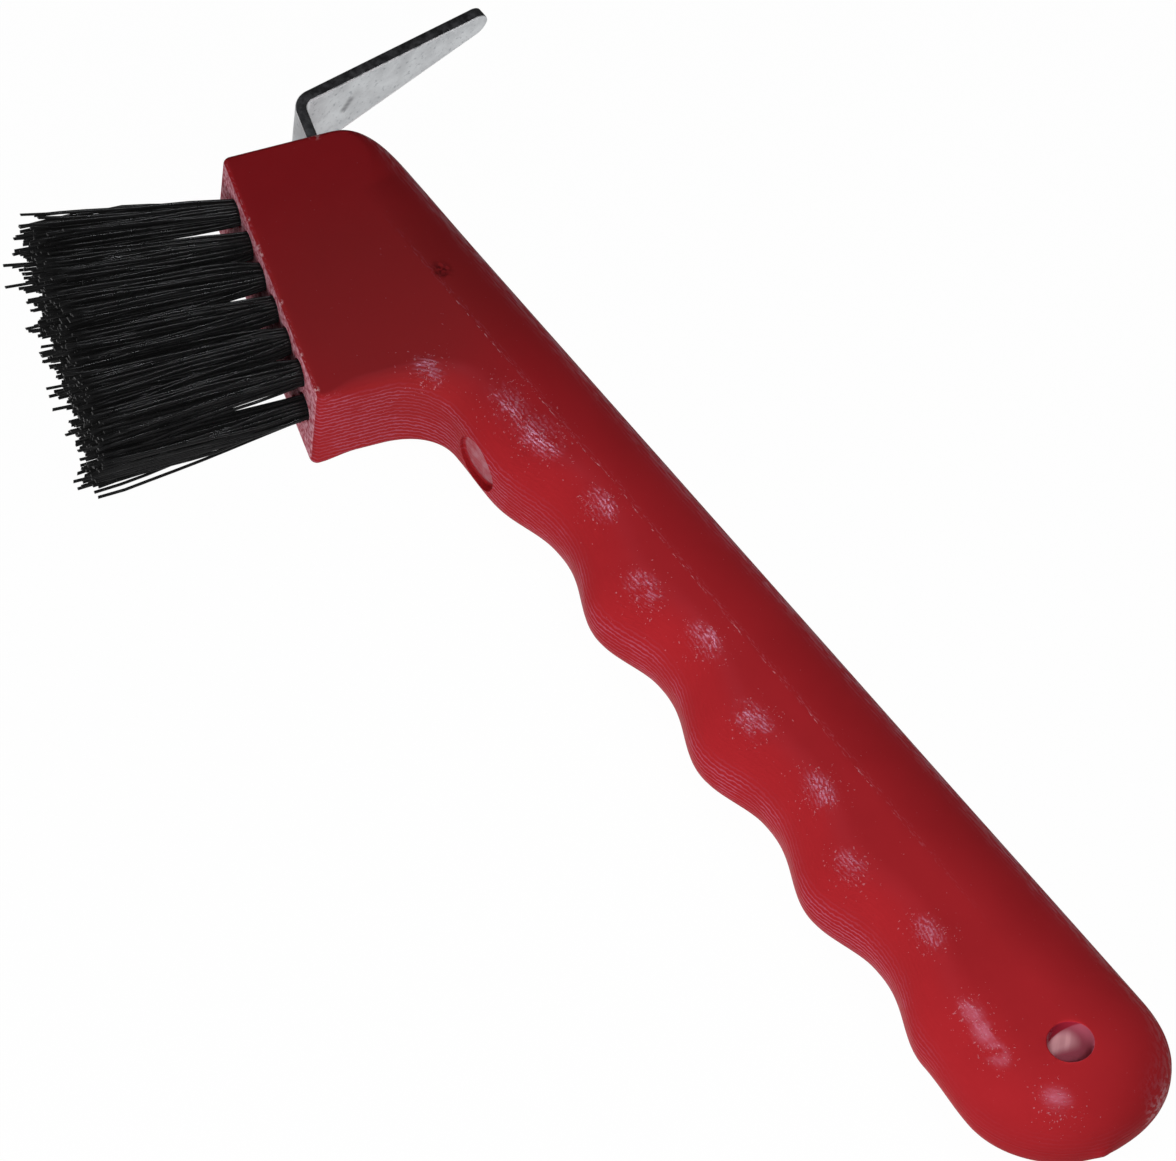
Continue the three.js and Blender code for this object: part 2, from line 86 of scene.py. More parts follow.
# %% Frame of the brush face
HEAD_LEAN = math.radians(18.5)
HEAD_TOP = 21.6
BRUSH_FACE = 38.0
ALONG_FACE = np.array([math.cos(HEAD_LEAN), -math.sin(HEAD_LEAN)])
OUT_OF_FACE = np.array([-math.sin(HEAD_LEAN), -math.cos(HEAD_LEAN)])


def face_flat(along, out):
    """Point or points of the drawing's plane, from the top of the brush face: along it and out of it."""
    along, out = np.broadcast_arrays(np.asarray(along, float), np.asarray(out, float))
    return OUT_OF_FACE * HEAD_TOP + along[..., None] * ALONG_FACE + out[..., None] * OUT_OF_FACE


def from_face(along, out, across):
    """The same with the distance across the face, as points of the drawing."""
    flat = face_flat(along, out)
    across = np.broadcast_to(np.asarray(across, float), flat.shape[:-1])
    return np.concatenate([flat, across[..., None]], axis=-1)


print("lower corner of the brush face:", np.round(face_flat(BRUSH_FACE, 0), 2))

# %% [markdown]
# ## Meshes from rings
# Most of this object is a section carried round or along something: the moulding's rounded edge goes
# round its outline, the strip's section goes along its bend, and a filament is a tiny tube. One helper
# takes rings of points, each with the same count, and skins them with four-sided faces.

# %% Skin rings with faces
def ring_faces(ring_count, per_ring, closed_ends=True, first=0):
    """Faces between neighbouring rings, and two end faces if asked."""
    ring, place = np.meshgrid(np.arange(ring_count - 1), np.arange(per_ring), indexing="ij")
    a = first + ring * per_ring + place
    b = first + ring * per_ring + (place + 1) % per_ring
    faces = np.stack([a, b, b + per_ring, a + per_ring], axis=-1).reshape(-1, 4).tolist()
    if closed_ends:
        faces.append([first + i for i in reversed(range(per_ring))])
        faces.append([first + (ring_count - 1) * per_ring + i for i in range(per_ring)])
    return faces


def add_object(name, data):
    """Puts a mesh, a lamp or a camera into the scene."""
    added = bpy.data.objects.new(name, data)
    bpy.context.scene.collection.objects.link(added)
    return added


def mesh_object(name, points, faces, smooth=True):
    """A new mesh object with outward faces, from points of the scene."""
    mesh = bpy.data.meshes.new(name)
    mesh.from_pydata(np.asarray(points).tolist(), [], faces)
    editable = bmesh.new()
    editable.from_mesh(mesh)
    bmesh.ops.recalc_face_normals(editable, faces=editable.faces[:])
    editable.to_mesh(mesh)
    editable.free()
    mesh.polygons.foreach_set("use_smooth", [smooth] * len(mesh.polygons))
    return add_object(name, mesh)


def mix(a, b, share):
    """From a to b by a share."""
    return a + (b - a) * share


def smooth_share(t):
    """A share that starts and ends gently."""
    t = np.clip(t, 0, 1)
    return t * t * (3 - 2 * t)


# %% [markdown]
# ## The grip's waves
# Four finger grooves follow each other with a slowly growing pitch, and the grip gets thicker towards
# its end. Each groove falls and rises in half cosines. A station holds a place along the grip, the width
# there, how wide and deep the edge rounding is, and how late the groove starts to rise.

# %% Stations of the grip
PARTING_LAND = 0.8
FULL_DROP = (THICKNESS - PARTING_LAND) / 2
LEAST_FLAT = 0.8
END_CAP = 14.0
CAP_START = HANDLE_LENGTH - END_CAP
NECK_RADIUS, NECK_WIDTH, NECK_ROUND, NECK_DROP = 8.0, 18.4, 6.0, 4.2
NECK_CREST_WIDTH, NECK_CREST_RUN, NECK_CREST_SHARE = 19.1, 8.5, 0.3
FIRST_VALLEY_RUN, GROOVE_COUNT, VALLEY_WIDTH, WIDTH_GAIN = 11.3, 4, 17.65, 1.74
GROOVE_DEPTH, GROOVE_PITCH, PITCH_GAIN, CREST_SHARE, LATE_RISE = 3.95, 23.3, 0.8, 0.58, 1.22
GRIP_ROUND, GRIP_ROUND_DAMPING = 8.0, 0.35
BACK_ROUND_HEAD, BACK_ROUND_END = 9.0, 12.0
END_WIDTH = 27.5

face_bottom = face_flat(BRUSH_FACE, 0)
neck_tangent = NECK_RADIUS * math.tan((math.pi / 2 - HEAD_LEAN) / 2)
underside_reach = (NECK_WIDTH + face_bottom[1]) / OUT_OF_FACE[1]
neck_start = face_bottom[0] - OUT_OF_FACE[0] * underside_reach + neck_tangent


def grip_station(x, width, wave, share, late=1.0):
    """Place, width, rounding, drop and lateness. Wave is 0 in a groove, share is 0 at the neck."""
    damping = share * GRIP_ROUND_DAMPING * GROOVE_DEPTH * (wave - 0.5)
    return x, width, mix(NECK_ROUND, GRIP_ROUND, share) + damping, mix(NECK_DROP, FULL_DROP, share), late


grip_stations = [grip_station(neck_start, NECK_WIDTH, 0.5, 0),
                 grip_station(neck_start + NECK_CREST_RUN, NECK_CREST_WIDTH, 0.5, NECK_CREST_SHARE)]
groove_x = neck_start + NECK_CREST_RUN + FIRST_VALLEY_RUN
for groove in range(GROOVE_COUNT):
    pitch, valley = GROOVE_PITCH + PITCH_GAIN * groove, VALLEY_WIDTH + WIDTH_GAIN * groove
    grip_stations.append(grip_station(groove_x, valley, 0, 1, LATE_RISE))
    grip_stations.append(grip_station(groove_x + pitch * CREST_SHARE, valley + GROOVE_DEPTH, 1, 1))
    groove_x += pitch
grip_stations = np.array(grip_stations + [grip_station(CAP_START, END_WIDTH, 1, 1)])


def grip_at(x):
    """Width, front rounding, back rounding and front drop at x, kept inside the width."""
    i = int(np.clip(np.searchsorted(grip_stations[:, 0], x, side="left") - 1, 0, len(grip_stations) - 2))
    a, b = grip_stations[i], grip_stations[i + 1]
    t = np.clip((x - a[0]) / (b[0] - a[0]), 0, 1) ** a[4]
    width, front, drop = mix(a[1:4], b[1:4], (1 - math.cos(math.pi * t)) / 2)
    back = mix(BACK_ROUND_HEAD, BACK_ROUND_END, np.clip(x / HANDLE_LENGTH, 0, 1))
    fit = min(1, (width - LEAST_FLAT) / (back + front))
    return width, front * fit, back * fit, drop


print("grooves at", [round(float(s[0]), 1) for s in grip_stations[2::2][:GROOVE_COUNT]], "mm")

# %% [markdown]
# ## The outline of the moulding
# Seen from the side, the outline runs round the brush face, under the head, along the grooves, round
# the end and back along the straight back. Each place has its edge at the parting line, the rim of the
# flat side face, how deep the rounding drops, and how sharply it meets the side face. On the real
# moulding the back's rounding meets the side face in a faint crease, which fades towards the end.

# %% Places on the outline
HEAD_CORNER, HEAD_EDGE = 1.0, 0.7
UNDERSIDE_EDGE, UNDERSIDE_FADE = 2.0, 0.6
BACK_CORNER, BACK_FADE = 10.4, 0.9
CREASE_BEFORE_CAP, CREASE_FADE_CAP, CREASE_FADE_HEAD = 6, 40, 14
END_POWER_BACK, END_POWER_GRIP = 2.35, 1.86
OUT_ANGLE = math.atan2(OUT_OF_FACE[1], OUT_OF_FACE[0])
FINE_LINES, COARSE_LINES = 0.68, 0.75


def unit(angle):
    """The unit ray at an angle."""
    return np.array([math.cos(angle), math.sin(angle)])


def outline_place(edge, inward, rounding, drop, crease=0.0, head=0.0, pitch=FINE_LINES):
    """One row of the outline: edge, rim, drop, crease, share of the head's sharp edge, pitch of lines."""
    rim = np.asarray(edge) + np.asarray(inward) * rounding
    return [*edge, *rim, drop, crease, head, pitch]


def head_outline(corner_steps=10, underside_steps=10, neck_steps=22):
    """The brush face with its corners, the underside of the head and the inside corner at the neck."""
    places = []
    for along, start in ((HEAD_CORNER, OUT_ANGLE - math.pi / 2), (BRUSH_FACE - HEAD_CORNER, OUT_ANGLE)):
        for angle in np.linspace(start, start + math.pi / 2, corner_steps + 1):
            edge = face_flat(along, -HEAD_CORNER) + HEAD_CORNER * unit(angle)
            places.append(outline_place(edge, -unit(angle), HEAD_EDGE, HEAD_EDGE, head=1,
                                        pitch=COARSE_LINES))
    for share in np.linspace(0, 1, underside_steps + 1)[1:-1]:
        rounding = mix(HEAD_EDGE, UNDERSIDE_EDGE, smooth_share(share / UNDERSIDE_FADE))
        edge = face_flat(BRUSH_FACE, -mix(HEAD_CORNER, underside_reach - neck_tangent, share))
        places.append(outline_place(edge, -ALONG_FACE, rounding, rounding, head=1 - smooth_share(2 * share),
                                    pitch=COARSE_LINES))
    _, front, _, drop = grip_at(neck_start)
    for share in np.linspace(0, 1, neck_steps + 1):
        ray = unit(mix(math.pi - HEAD_LEAN, math.pi / 2, share))
        edge = np.array([neck_start, -NECK_WIDTH - NECK_RADIUS]) + ray * NECK_RADIUS
        fade = smooth_share(share)
        pitch = mix(COARSE_LINES, FINE_LINES, fade)
        places.append(outline_place(edge, ray, mix(UNDERSIDE_EDGE, front, fade),
                                    mix(UNDERSIDE_EDGE, drop, fade), pitch=pitch))
    return places


def groove_outline(step=0.5):
    """The grooved side of the grip."""
    places = []
    for x in np.linspace(neck_start, CAP_START, round((CAP_START - neck_start) / step) + 1)[1:-1]:
        width, front, _, drop = grip_at(x)
        places.append(outline_place([x, -width], [0, 1], front, drop))
    return places


def cap_outline(steps=72):
    """The end cap, fuller on the back than on the grooved side."""
    _, front, back, _ = grip_at(CAP_START)
    half, rim_length = END_WIDTH / 2, END_CAP - (front + back) / 2
    places = []
    for angle in np.linspace(-math.pi / 2, math.pi / 2, steps + 1):
        power = 2 / (END_POWER_GRIP if angle < 0 else END_POWER_BACK)
        across = np.sign(angle) * abs(math.sin(angle)) ** power
        along = abs(math.cos(angle)) ** power
        rim_half = half - (front if angle < 0 else back)
        edge = [CAP_START + END_CAP * along, half * across - half]
        rim = [CAP_START + rim_length * along, rim_half * across - half]
        places.append([*edge, *rim, FULL_DROP, 0, 0, FINE_LINES])
    return places


def back_outline(step=2.0, corner_steps=28):
    """The straight back, and the large corner down to the top of the head."""
    places = []
    corner = BACK_CORNER * math.tan((math.pi / 2 - HEAD_LEAN) / 2)
    for x in np.linspace(CAP_START, corner, round((CAP_START - corner) / step) + 1)[1:-1]:
        crease = smooth_share((CAP_START - CREASE_BEFORE_CAP - x) / CREASE_FADE_CAP)
        crease *= smooth_share((x - corner) / CREASE_FADE_HEAD)
        places.append(outline_place([x, 0], [0, -1], grip_at(x)[2], FULL_DROP, crease))
    back_round = min(grip_at(corner)[2], BACK_CORNER - LEAST_FLAT)
    for share in np.linspace(0, 1, corner_steps + 1):
        ray = unit(mix(math.pi / 2, math.pi - HEAD_LEAN, share))
        edge = np.array([corner, -BACK_CORNER]) + ray * BACK_CORNER
        fade = smooth_share(share / BACK_FADE)
        places.append(outline_place(edge, -ray, mix(back_round, HEAD_EDGE, fade),
                                    mix(FULL_DROP, HEAD_EDGE, fade), 0, fade))
    return places


outline = np.array(head_outline() + groove_outline() + cap_outline() + back_outline())
print("outline places:", len(outline), "ending at", np.round(outline[:, 0].max(), 1), "mm")

# %% [markdown]
# ## From outline to solid
# Between edge and rim the surface follows a quarter of an ellipse, cut a little short where there is a
# crease. A mesh modifier could bevel a flat plate, but a bevel has one width, and here it changes all the
# way round. So the rings are computed, one for each step of the rounding, on both sides of the mould.

# %% Rings of the moulding
ROUND_STEPS = 18
CREASE_ANGLE = math.radians(15)
INNER_RING = 0.12
NUB_PLACE, NUB_OUTWARD = np.array([170.9, -16.6, -1.2]), np.array([0.9, -0.43, 0.0])
NUB_REACH, NUB_RISE = 1.3, 0.55
edges, rims = outline[:, 0:2], outline[:, 2:4]
drops, creases, head_shares, line_pitches = outline[:, 4:].T


def moulding_ring(step, side):
    """One ring of the rounding: step 0 is the edge at the parting land, the last the side face's rim."""
    last = math.pi / 2 - CREASE_ANGLE * creases
    angle = last * step / ROUND_STEPS
    inward = (1 - np.cos(angle)) / (1 - np.cos(last))
    height = THICKNESS / 2 - drops * (1 - np.sin(angle) / np.sin(last))
    return np.column_stack([edges + (rims - edges) * inward[:, None], side * height])


def inner_ring(side):
    """A ring just inside the rim, so that the flat side face keeps its flat shading."""
    inward = (rims - edges) / np.linalg.norm(rims - edges, axis=1)[:, None]
    return np.column_stack([rims + inward * INNER_RING, np.full(len(rims), side * THICKNESS / 2)])


def ring_wear(step):
    """How much an edge on this ring is rubbed: the crease at the rim, and the head's small rounding."""
    middle = 1 - abs(step / ROUND_STEPS - 0.55) / 0.35
    return np.maximum(creases * max(0, 1 - (ROUND_STEPS - step) * 0.8), head_shares * max(middle, 0))


def ring_lines(side):
    """How many cutter lines lie between the parting line and each ring, measured over the surface."""
    steps = [moulding_ring(step, side) for step in range(ROUND_STEPS + 1)]
    travel = [np.abs(steps[0][:, 2])]
    for before, after in zip(steps, steps[1:]):
        travel.append(travel[-1] + np.linalg.norm(after - before, axis=1))
    return [side * t / line_pitches for t in travel]


def add_trim_nub(points):
    """Raises a tiny nub on the end of the grip, where the overflow of the mould was snapped off."""
    away = np.linalg.norm(points - NUB_PLACE, axis=1) / NUB_REACH
    return points + NUB_RISE * np.exp(-away ** 2)[:, None] * NUB_OUTWARD


rings, wear, lines = [], [], []
for side in (-1, 1):
    half_rings = [moulding_ring(step, side) for step in range(ROUND_STEPS + 1)] + [inner_ring(side)]
    half_wear = [ring_wear(step) for step in range(ROUND_STEPS + 1)] + [np.zeros(len(outline))]
    half_lines = ring_lines(side)
    half_lines.append(half_lines[-1] + side * INNER_RING / line_pitches)
    turned = slice(None, None, side)
    rings, wear, lines = rings + half_rings[turned], wear + half_wear[turned], lines + half_lines[turned]
ring_points = add_trim_nub(np.concatenate(rings))
moulding_points = scene_points(ring_points)
moulding_wear, moulding_lines = np.concatenate(wear), np.concatenate(lines)
moulding = mesh_object("moulded_handle", moulding_points, ring_faces(len(rings), len(outline)))
print("moulding before its holes:", len(moulding.data.polygons), "faces")

# %% [markdown]
# ## Holes in the moulding
# The tufts sit in blind holes, the hook's tang in a slot, and the grip has a hanging hole and a round
# recess where the plastic entered the mould. Each hole is a small closed body, and one Boolean modifier
# takes them all away. That keeps the holes round and deep instead of painted on.

# %% Bodies of the holes
ROW_HOLES, TUFT_PITCH, ROW_PITCH, FIRST_HOLE = (6, 7, 6), 5.0, 4.1, 3.85
HOLE_DEPTH, HOLE_RADIUS = 10.4, 1.68
STRIP_THICKNESS, STRIP_WIDTH, STRIP_TANG, HOOK_CENTRE = 1.5, 12.5, 17.0, 12.3
HOLE_FROM_END, HANG_RADIUS, HANG_FLARE = 11.6, 2.95, 0.25
GATE_RADIUS, GATE_DEPTH, GATE_FROM_NECK = 3.8, 1.1, 4.9
RIM_EASE, TUFT_SIDES, HANG_SIDES, GATE_SIDES = 0.25, 32, 64, 48


def lathe(profile, base, axis, sides):
    """Rings of a turned body: profile holds radius and height, in the drawing."""
    axis = np.asarray(axis, float)
    across = np.cross(axis, [0.0, 0.0, 1.0] if abs(axis[2]) < 0.9 else [1.0, 0.0, 0.0])
    across /= np.linalg.norm(across)
    other = np.cross(axis, across)
    turn = np.linspace(0, 2 * math.pi, sides, endpoint=False)[:, None]
    ray = np.cos(turn) * across + np.sin(turn) * other
    return np.concatenate([np.asarray(base) + ray * radius + axis * height for radius, height in profile])


def tuft_rows():
    """For each row its place across the face, and the places of its holes along it."""
    longest = max(ROW_HOLES)
    for row, count in enumerate(ROW_HOLES):
        start = FIRST_HOLE + TUFT_PITCH * (longest - count) / 2
        yield ROW_PITCH * (1 - row), start + TUFT_PITCH * np.arange(count)


cut_points, cut_faces = [], []


def add_cut(points, per_ring):
    """Adds one hole's body, of rings with so many points each, to the cutter."""
    cut_faces.extend(ring_faces(len(points) // per_ring, per_ring, first=sum(len(p) for p in cut_points)))
    cut_points.append(points)


out_axis = [*OUT_OF_FACE, 0]
post = [(HOLE_RADIUS * 0.35, -HOLE_DEPTH - 0.6), (HOLE_RADIUS, -HOLE_DEPTH), (HOLE_RADIUS, -RIM_EASE),
        (HOLE_RADIUS + RIM_EASE, 0.0), (HOLE_RADIUS + RIM_EASE, 0.5)]
for across, holes in tuft_rows():
    for along in holes:
        add_cut(lathe(post, from_face(along, 0, across), out_axis, TUFT_SIDES), TUFT_SIDES)

flare = [(HANG_RADIUS + HANG_FLARE * (1 - math.sin(a)), THICKNESS / 2 - HANG_FLARE * (1 - math.cos(a)))
         for a in np.linspace(math.pi / 2, 0, 6)]
upper = flare + [(HANG_RADIUS + HANG_FLARE, THICKNESS / 2 + 1)]
hanging = [(radius, -height) for radius, height in reversed(upper)] + upper
hang_centre = [HANDLE_LENGTH - HOLE_FROM_END, -END_WIDTH / 2, 0]
add_cut(lathe(hanging, hang_centre, [0, 0, 1], HANG_SIDES), HANG_SIDES)

gate_x = neck_start + GATE_FROM_NECK
gate_floor = GATE_DEPTH - grip_at(gate_x)[0]
gate = [(GATE_RADIUS - RIM_EASE, 0.0), (GATE_RADIUS, RIM_EASE), (GATE_RADIUS, 8.0)]
add_cut(lathe(gate, [gate_x, gate_floor, 0], [0, -1, 0], GATE_SIDES), GATE_SIDES)

SLOT_EASE = 0.05
slot_half = np.array([STRIP_THICKNESS / 2 + SLOT_EASE, STRIP_WIDTH / 2 + SLOT_EASE])
slot_rings = [from_face([along] * 4, -HOOK_CENTRE + slot_half[0] * np.array([-1, 1, 1, -1]),
                        slot_half[1] * np.array([-1, -1, 1, 1])) for along in (-3.0, STRIP_TANG + 0.3)]
add_cut(np.concatenate(slot_rings), 4)
print("holes:", sum(ROW_HOLES), "for tufts, and", len(cut_points) - sum(ROW_HOLES), "others")

# %% Take the holes out
hole_cutter = mesh_object("hole_cutter", scene_points(np.concatenate(cut_points)), cut_faces)


def cut_away(piece, cutter):
    """Takes the cutter out of the piece for good, and removes it."""
    boolean = piece.modifiers.new("holes", "BOOLEAN")
    boolean.object, boolean.operation, boolean.solver = cutter, "DIFFERENCE", "EXACT"
    result = bpy.data.meshes.new_from_object(piece.evaluated_get(bpy.context.evaluated_depsgraph_get()))
    piece.modifiers.clear()
    piece.data = result
    bpy.data.objects.remove(cutter)


def sharpen(piece, degrees):
    """Shades faces smoothly, except over edges that turn more than this."""
    mesh = piece.data
    editable = bmesh.new()
    editable.from_mesh(mesh)
    for face in editable.faces:
        face.smooth = True
    for edge in editable.edges:
        edge.smooth = edge.calc_face_angle(math.pi) < math.radians(degrees)
    editable.to_mesh(mesh)
    editable.free()


cut_away(moulding, hole_cutter)
sharpen(moulding, 13)
print("moulding with its holes:", len(moulding.data.polygons), "faces")

# %% [markdown]
# ## Where the plastic is rubbed and lined
# The crease along the back and the small roundings of the head show tiny pale chips and scratches. A
# number at each vertex says how much that place is rubbed, and another counts the cutter lines from the
# parting line. The plastic's material reads both. The Boolean makes new vertices, so each one looks up
# the nearest vertex of the rings.

# %% Store the wear and the lines
def store_surface_values(piece, points, wear_values, line_counts, reach=0.02 * MM):
    """Writes how worn each vertex is, and how many cutter lines away from the parting line."""
    tree = kdtree.KDTree(len(points))
    for i, point in enumerate(points):
        tree.insert(point, i)
    tree.balance()
    worn, counted = [], []
    for vertex in piece.data.vertices:
        known, i, distance = tree.find(vertex.co)
        worn.append(wear_values[i] if distance < reach else 0.0)
        counted.append(line_counts[i] + (vertex.co.z - known.z) / MM / COARSE_LINES)
    piece.data.attributes.new("wear", "FLOAT", "POINT").data.foreach_set("value", worn)
    piece.data.attributes.new("lines", "FLOAT", "POINT").data.foreach_set("value", counted)
    return sum(worn)


worn_sum = store_surface_values(moulding, moulding_points, moulding_wear, moulding_lines)
print("worn vertices:", round(worn_sum))

# %% [markdown]
# ## Building materials in code
# A material is a small graph of nodes. A few helpers keep the graphs short: one starts a graph, one adds
# a node to it with its settings and links, and the others are the sums, steps and patterns that every
# finish here needs. Each gives back an output for the next to use. Patterns use the object's own
# coordinates in metres, so a scale of 1000 gives one cell a millimetre.

# %% Nodes and sums
def start_graph(owner):
    """Switches on the nodes of a material or the world. The helpers add theirs to the last one started."""
    global graph
    owner.use_nodes = True
    graph = owner.node_tree
    return graph.nodes


def new_material(name, **shader_values):
    """A material with a Principled shader. Values that are the same everywhere sit on its sockets."""
    material = bpy.data.materials.new(name)
    shader = start_graph(material)["Principled BSDF"]
    for socket, value in shader_values.items():
        shader.inputs[socket.replace("_", " ")].default_value = value
    return material, shader


def node(kind, links=None, **settings):
    """A new node. Links maps input names or numbers to a value or to another node's output."""
    made = graph.nodes.new(kind)
    for setting, value in settings.items():
        setattr(made, setting, value)
    for socket, value in (links or {}).items():
        if isinstance(value, bpy.types.NodeSocket):
            graph.links.new(value, made.inputs[socket])
        else:
            made.inputs[socket].default_value = value
    return made


def connect(shader, **outputs):
    """Links outputs to sockets of the shader."""
    for socket, output in outputs.items():
        graph.links.new(output, shader.inputs[socket.replace("_", " ")])


def maths(operation, a, b=0.0):
    """One sum."""
    return node("ShaderNodeMath", {0: a, 1: b}, operation=operation).outputs[0]


def times(*values):
    """All the values multiplied."""
    product = values[0]
    for value in values[1:]:
        product = maths("MULTIPLY", product, value)
    return product


def most(a, b):
    """The greater of two values."""
    return maths("MAXIMUM", a, b)


def vector_maths(operation, a, b=(0.0, 0.0, 0.0), output="Vector"):
    """One sum of vectors."""
    return node("ShaderNodeVectorMath", {0: a, 1: b}, operation=operation).outputs[output]


def parts_of(vector):
    """X, Y and Z of a vector."""
    return node("ShaderNodeSeparateXYZ", {"Vector": vector}).outputs


# %% Steps, colours and patterns
def ramp(value, low, high, to_low=0.0, to_high=1.0):
    """A smooth step from low to high."""
    links = {"Value": value, "From Min": low, "From Max": high, "To Min": to_low, "To Max": to_high}
    return node("ShaderNodeMapRange", links, interpolation_type="SMOOTHSTEP").outputs["Result"]


def blend(share, a, b):
    """Colour a to colour b by a share."""
    made = node("ShaderNodeMix", {"Factor": share}, data_type="RGBA")
    for socket, value in ((made.inputs[6], a), (made.inputs[7], b)):
        if isinstance(value, bpy.types.NodeSocket):
            graph.links.new(value, socket)
        else:
            socket.default_value = (*value, 1.0)
    return made.outputs[2]


def noise(place, scale, detail=2.0, roughness=0.5):
    """Soft noise from 0 to 1; scale is cells a metre."""
    links = {"Vector": place, "Scale": scale, "Detail": detail, "Roughness": roughness}
    return node("ShaderNodeTexNoise", links).outputs["Fac"]


def stretched_noise(place, cells, detail, roughness):
    """Noise with its own number of cells a metre in X, Y and Z."""
    stretched = node("ShaderNodeMapping", {"Vector": place, "Scale": cells}).outputs["Vector"]
    return noise(stretched, 1.0, detail, roughness)


def object_place():
    """The place on the object, in metres."""
    return node("ShaderNodeTexCoord").outputs["Object"]


def stored(name):
    """A number that is stored at the vertices."""
    return node("ShaderNodeAttribute", attribute_name=name).outputs["Fac"]


def closeness(place, point, near, far, longer=1.0):
    """1 within near of a point of the drawing, 0 beyond far, in millimetres. Longer stretches it in X."""
    away = vector_maths("SUBTRACT", place, scene_point(*point))
    away = vector_maths("MULTIPLY", away, (1.0 / longer, 1.0, 1.0))
    away = vector_maths("LENGTH", away, output="Value")
    return ramp(away, near * MM, far * MM, 1.0, 0.0)


def bump(height, strength, depth_mm, normal=None):
    """A bump; depth is how high a height of 1 stands."""
    links = {"Height": height, "Strength": strength, "Distance": depth_mm * MM}
    if normal is not None:
        links["Normal"] = normal
    return node("ShaderNodeBump", links).outputs["Normal"]


# %% [markdown]
# ## Red plastic: which way it faces
# The moulding is a tough red plastic with a semi-matt skin. Its flat side faces, its walls and its
# straight back each look different: the walls carry the lines of the tool that cut the mould, and the
# back has a mottled gleam. Texture coordinates don't know about sides, so the material first asks which
# way each place faces. The lines fade out towards the end of the grip.

# %% Masks from the facing
LINES_FADE_FROM, LINES_FADE_TO, LINES_LEFT = 136.0, 156.0, 0.12


def facing_masks(along):
    """Masks: looking back, back wall, steep walls, walls whose ridges get a painted sheen, roundings,
    cutter lines.
    """
    facing = parts_of(node("ShaderNodeNewGeometry").outputs["Normal"])
    upward, backward = maths("ABSOLUTE", facing["Z"]), ramp(facing["Y"], 0.1, 0.3)
    fade_from, fade_to = scene_point(LINES_FADE_FROM, 0, 0).x, scene_point(LINES_FADE_TO, 0, 0).x
    cut_by_lines = ramp(along, fade_from, fade_to, 1.0, LINES_LEFT)
    back_wall = times(ramp(upward, 0.62, 0.9, 1.0, 0.0), backward)
    not_back = maths("SUBTRACT", 1.0, backward)
    steep = most(times(ramp(upward, 0.72, 0.995, 1.0, 0.0), not_back), back_wall)
    wall = times(most(ramp(upward, 0.15, 0.6, 1.0, 0.0), back_wall), cut_by_lines)
    curved = ramp(upward, 0.975, 0.997, 1.0, 0.1)
    return backward, back_wall, steep, wall, curved, cut_by_lines


# %% [markdown]
# ## Red plastic: lines of the mould's cutter
# The cutter went round the mould in passes, and each pass shows as a line on the moulding. The lines
# follow the outline, so a pattern in X, Y or Z can't draw them. Each vertex holds how many lines lie
# between it and the parting line, and a sine of that count makes the wave. Some noise in the count lets
# the lines wander.

# %% Cutter lines
LINE_WANDER = 1.1
STROKES_ALONG, STROKES_ACROSS = 1300.0, 1.6


def cutter_lines(place, along):
    """The count of lines, their wave, and noise that is drawn out along them."""
    count = stored("lines")
    wander = times(noise(place, 1100.0, 2.0, 0.6), LINE_WANDER)
    wave = maths("SINE", times(maths("ADD", count, wander), 2 * math.pi))
    flat = {"X": times(along, STROKES_ALONG), "Y": times(count, STROKES_ACROSS)}
    flat = node("ShaderNodeCombineXYZ", flat).outputs["Vector"]
    return count, wave, noise(flat, 1.0, 2.0, 0.55)


print("most cutter lines between parting line and rim:", round(float(moulding_lines.max())))

# %% [markdown]
# ## Red plastic: glossier patches
# The shoulders of the grooves show pale patches of short curled strokes. They may be plastic that hands
# have rubbed, or only lamps that shine in the bulges; one picture can't tell. Here they are patches with
# more gloss than the skin round them, placed one by one and stretched along the grip, and a highlight
# lamp is set for them further down. The gloss changes from place to place through a link, which an
# exported model drops, so the roughness is a little lower in the patches too.

# %% Glossier patches
GRIP_SHINE = ((33.7, -18.5, 2.2), (43.5, -13.4, 3.0), (49.5, -13.0, 3.2), (62.0, -13.3, 2.4),
              (75.3, -16.4, 2.6), (85.6, -14.8, 2.5), (98.7, -16.9, 2.6), (111.7, -16.6, 2.6),
              (122.8, -20.4, 2.4), (136.3, -18.1, 2.4), (148.6, -20.9, 2.0), (151.8, -21.6, 2.0),
              (155.2, -22.2, 2.0), (165.8, -20.2, 2.8))
PATCH_STRETCH, AROUND_STRETCH = 1.45, 1.3
SKIN_GLOSS, PATCH_GLOSS, BACK_GLOSS = 0.012, 0.7, 0.34


def shoulder_patches(place):
    """Two masks: the patches, and their wider surroundings, where the painted glint specks are crowded."""
    shine = around = 0.0
    for x, y, size in GRIP_SHINE:
        patch = (x, y, THICKNESS / 2 - 0.7)
        shine = most(shine, closeness(place, patch, 0.25 * size, 1.15 * size, PATCH_STRETCH))
        around = most(around, closeness(place, patch, 0.6 * size, 2.3 * size, AROUND_STRETCH))
    return times(shine, ramp(noise(place, 420.0, 2.0), 0.25, 0.5)), around


